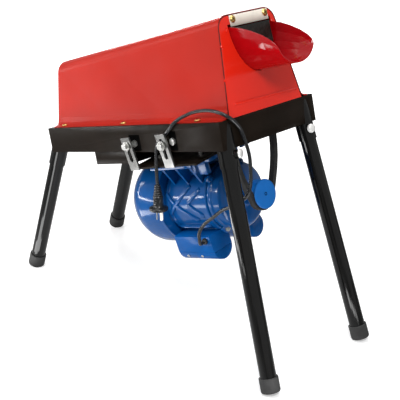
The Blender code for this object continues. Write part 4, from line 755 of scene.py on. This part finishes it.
def strap(name, middle_x):
    """A slotted strap around a CAD ear, 0.2 mm proud of it."""
    low, high = STRAP_LOW - SLOT_CENTRE, STRAP_HIGH - SLOT_CENTRE
    angles = sorted({2 * pi * k / 72 for k in range(72)}
                    | {atan2(z, x) % (2 * pi) for x in (-STRAP_HALF, STRAP_HALF) for z in (low, high)})

    def outer(a):
        x, z = cos(a), sin(a)
        reach = min(STRAP_HALF / abs(x) if abs(x) > 1e-9 else 9,
                    high / z if z > 1e-9 else low / z if z < -1e-9 else 9)
        return reach * x, reach * z

    def inner(a):
        x, z = cos(a), sin(a)
        side = SLOT_RADIUS / abs(x) if abs(x) > 1e-9 else 9
        if abs(z * side) <= SLOT_HALF:
            return side * x, side * z
        drop = abs(z) * SLOT_HALF
        reach = drop + sqrt(drop * drop - SLOT_HALF ** 2 + SLOT_RADIUS ** 2)
        return reach * x, reach * z

    rings = []
    for outline, y in ((outer, STRAP_FRONT), (outer, STRAP_BACK), (inner, STRAP_BACK),
                       (inner, STRAP_FRONT)):
        rings.append([Vector((middle_x + x, y, SLOT_CENTRE + z)) for x, z in map(outline, angles)])
    bm = loft(rings + rings[:1], ends=False)
    bmesh.ops.remove_doubles(bm, verts=bm.verts, dist=1e-6)
    piece(name, from_bmesh(bm), STRAP_ZINC, "motor_unit", smooth=False, where=HINGE)


strap("strap_outlet", -0.0305)
strap("strap_feed", 0.0750)


# ------------------------------------------------------------- painted shade in the openings of the rack's front
WINDOWS = ((0.0048, 0.0377, -0.0515, -0.0190), (0.1248, 0.1447, -0.0515, -0.0130))     # X and Z limits
# a near-black sheet at the back of each window recess: painted shade
for i, (begin, end, low, high) in enumerate(WINDOWS):
    shade = bmesh.new()
    add_box(shade, (end - begin, 0.0005, high - low),
            shift((begin + end) / 2, RACK_FRONT + 0.0007, (low + high) / 2))
    piece(f"window_painted_shade_{i + 1}", from_bmesh(shade), RECESS_SHADE, "stand", smooth=False, where=RACK)


# ------------------------------------------------------------- lights
def lamp(name, where, target, size, power, size_y=None):
    light = bpy.data.lights.new(name, "AREA")
    light.energy, light.size = power, size
    if size_y:
        light.shape, light.size_y = "RECTANGLE", size_y
    new = bpy.data.objects.new(name, light)
    scene.collection.objects.link(new)
    new.location = where
    new.rotation_euler = (Vector(target) - Vector(where)).to_track_quat("-Z", "Y").to_euler()
    return new


CENTRE = (0, 0, 0.35)
lamp("key", (-0.9, -2.3, 2.1), CENTRE, 1.3, 26, size_y=1.6)
lamp("key_edge", (-1.0, -2.55, 1.32), CENTRE, 1.0, 10, size_y=0.10)
lamp("right", (1.8, -1.3, 2.3), CENTRE, 0.6, 39)
lamp("top", (0.1, 0.2, 2.7), CENTRE, 2.0, 32)
lamp("back", (-2.3, 1.7, 1.1), CENTRE, 0.8, 34)
lamp("strip", (-2.3, -1.0, 0.9), CENTRE, 0.25, 8, size_y=1.5)
lamp("low_line", (-1.35, -1.26, 0.10), (0.05, -0.13, 0.25), 1.7, 9, size_y=0.06)
for name, x, y, azimuth in (("low_right", 1.00, -0.23, -5), ("low_front", -0.16, -0.72, -68)):
    low = lamp(name, (x, y, 0.004), (x, y, 1), 1.1, 3.4, size_y=0.15)       # thin highlights on the legs
    low.rotation_euler = (pi, 0, radians(azimuth))
    low.visible_camera = False


# ------------------------------------------------------------- world: white to the camera, dim as a light
AMBIENT, GLOSSY_SHARE = 0.16, 0.35
world = bpy.data.worlds.new("world")
scene.world = world
world.use_nodes = True
tree = world.node_tree
link = tree.links.new
background = tree.nodes["Background"]
background.inputs["Color"].default_value = (1, 1, 1, 1)
paths = add_node(tree, "ShaderNodeLightPath")
seen = add_node(tree, "ShaderNodeMath", operation="MAXIMUM")
link(paths.outputs["Is Camera Ray"], seen.inputs[0])
link(paths.outputs["Is Transmission Ray"], seen.inputs[1])
shine = add_node(tree, "ShaderNodeMath", operation="MULTIPLY_ADD")
shine.inputs[1].default_value = GLOSSY_SHARE
link(paths.outputs["Is Glossy Ray"], shine.inputs[0])
link(seen.outputs[0], shine.inputs[2])
link(add_range(tree, shine.outputs[0], (0, 1, AMBIENT, 1)), background.inputs["Strength"])


# ------------------------------------------------------------- floor
bm = bmesh.new()
bmesh.ops.create_grid(bm, x_segments=1, y_segments=1, size=12)
floor = bpy.data.objects.new("floor", from_bmesh(bm, "floor"))
scene.collection.objects.link(floor)
floor.location.z = -0.0005
paper = bpy.data.materials.new("paper")
paper.use_nodes = True
tree = paper.node_tree
link = tree.links.new
shader = tree.nodes["Principled BSDF"]
shader.inputs["Roughness"].default_value = 0.9
shader.inputs["Emission Color"].default_value = (1, 1, 1, 1)
paths = add_node(tree, "ShaderNodeLightPath")
away = add_node(tree, "ShaderNodeVectorMath", operation="LENGTH")
link(add_node(tree, "ShaderNodeTexCoord").outputs["Object"], away.inputs[0])

# reflections show less of the floor the further out it lies
dim = add_range(tree, away.outputs["Value"], (0.25, 0.75, 0, 1))
share = add_node(tree, "ShaderNodeMath", operation="MULTIPLY")
link(dim, share.inputs[0])
link(paths.outputs["Is Glossy Ray"], share.inputs[1])
blend = add_node(tree, "ShaderNodeMix", data_type="RGBA")
blend.inputs[6].default_value = (0.86, 0.86, 0.86, 1)
blend.inputs[7].default_value = (0.16, 0.16, 0.16, 1)
link(share.outputs[0], blend.inputs[0])
link(blend.outputs[2], shader.inputs["Base Color"])

# to the camera the floor glows, more with distance, so that it fades to white around the shadow
fade = add_range(tree, away.outputs["Value"], (0.7, 2.2, 0.45, 1.0))
lift = add_node(tree, "ShaderNodeMath", operation="MULTIPLY")
link(paths.outputs["Is Camera Ray"], lift.inputs[0])
link(fade, lift.inputs[1])
link(lift.outputs[0], shader.inputs["Emission Strength"])
floor.data.materials.append(paper)
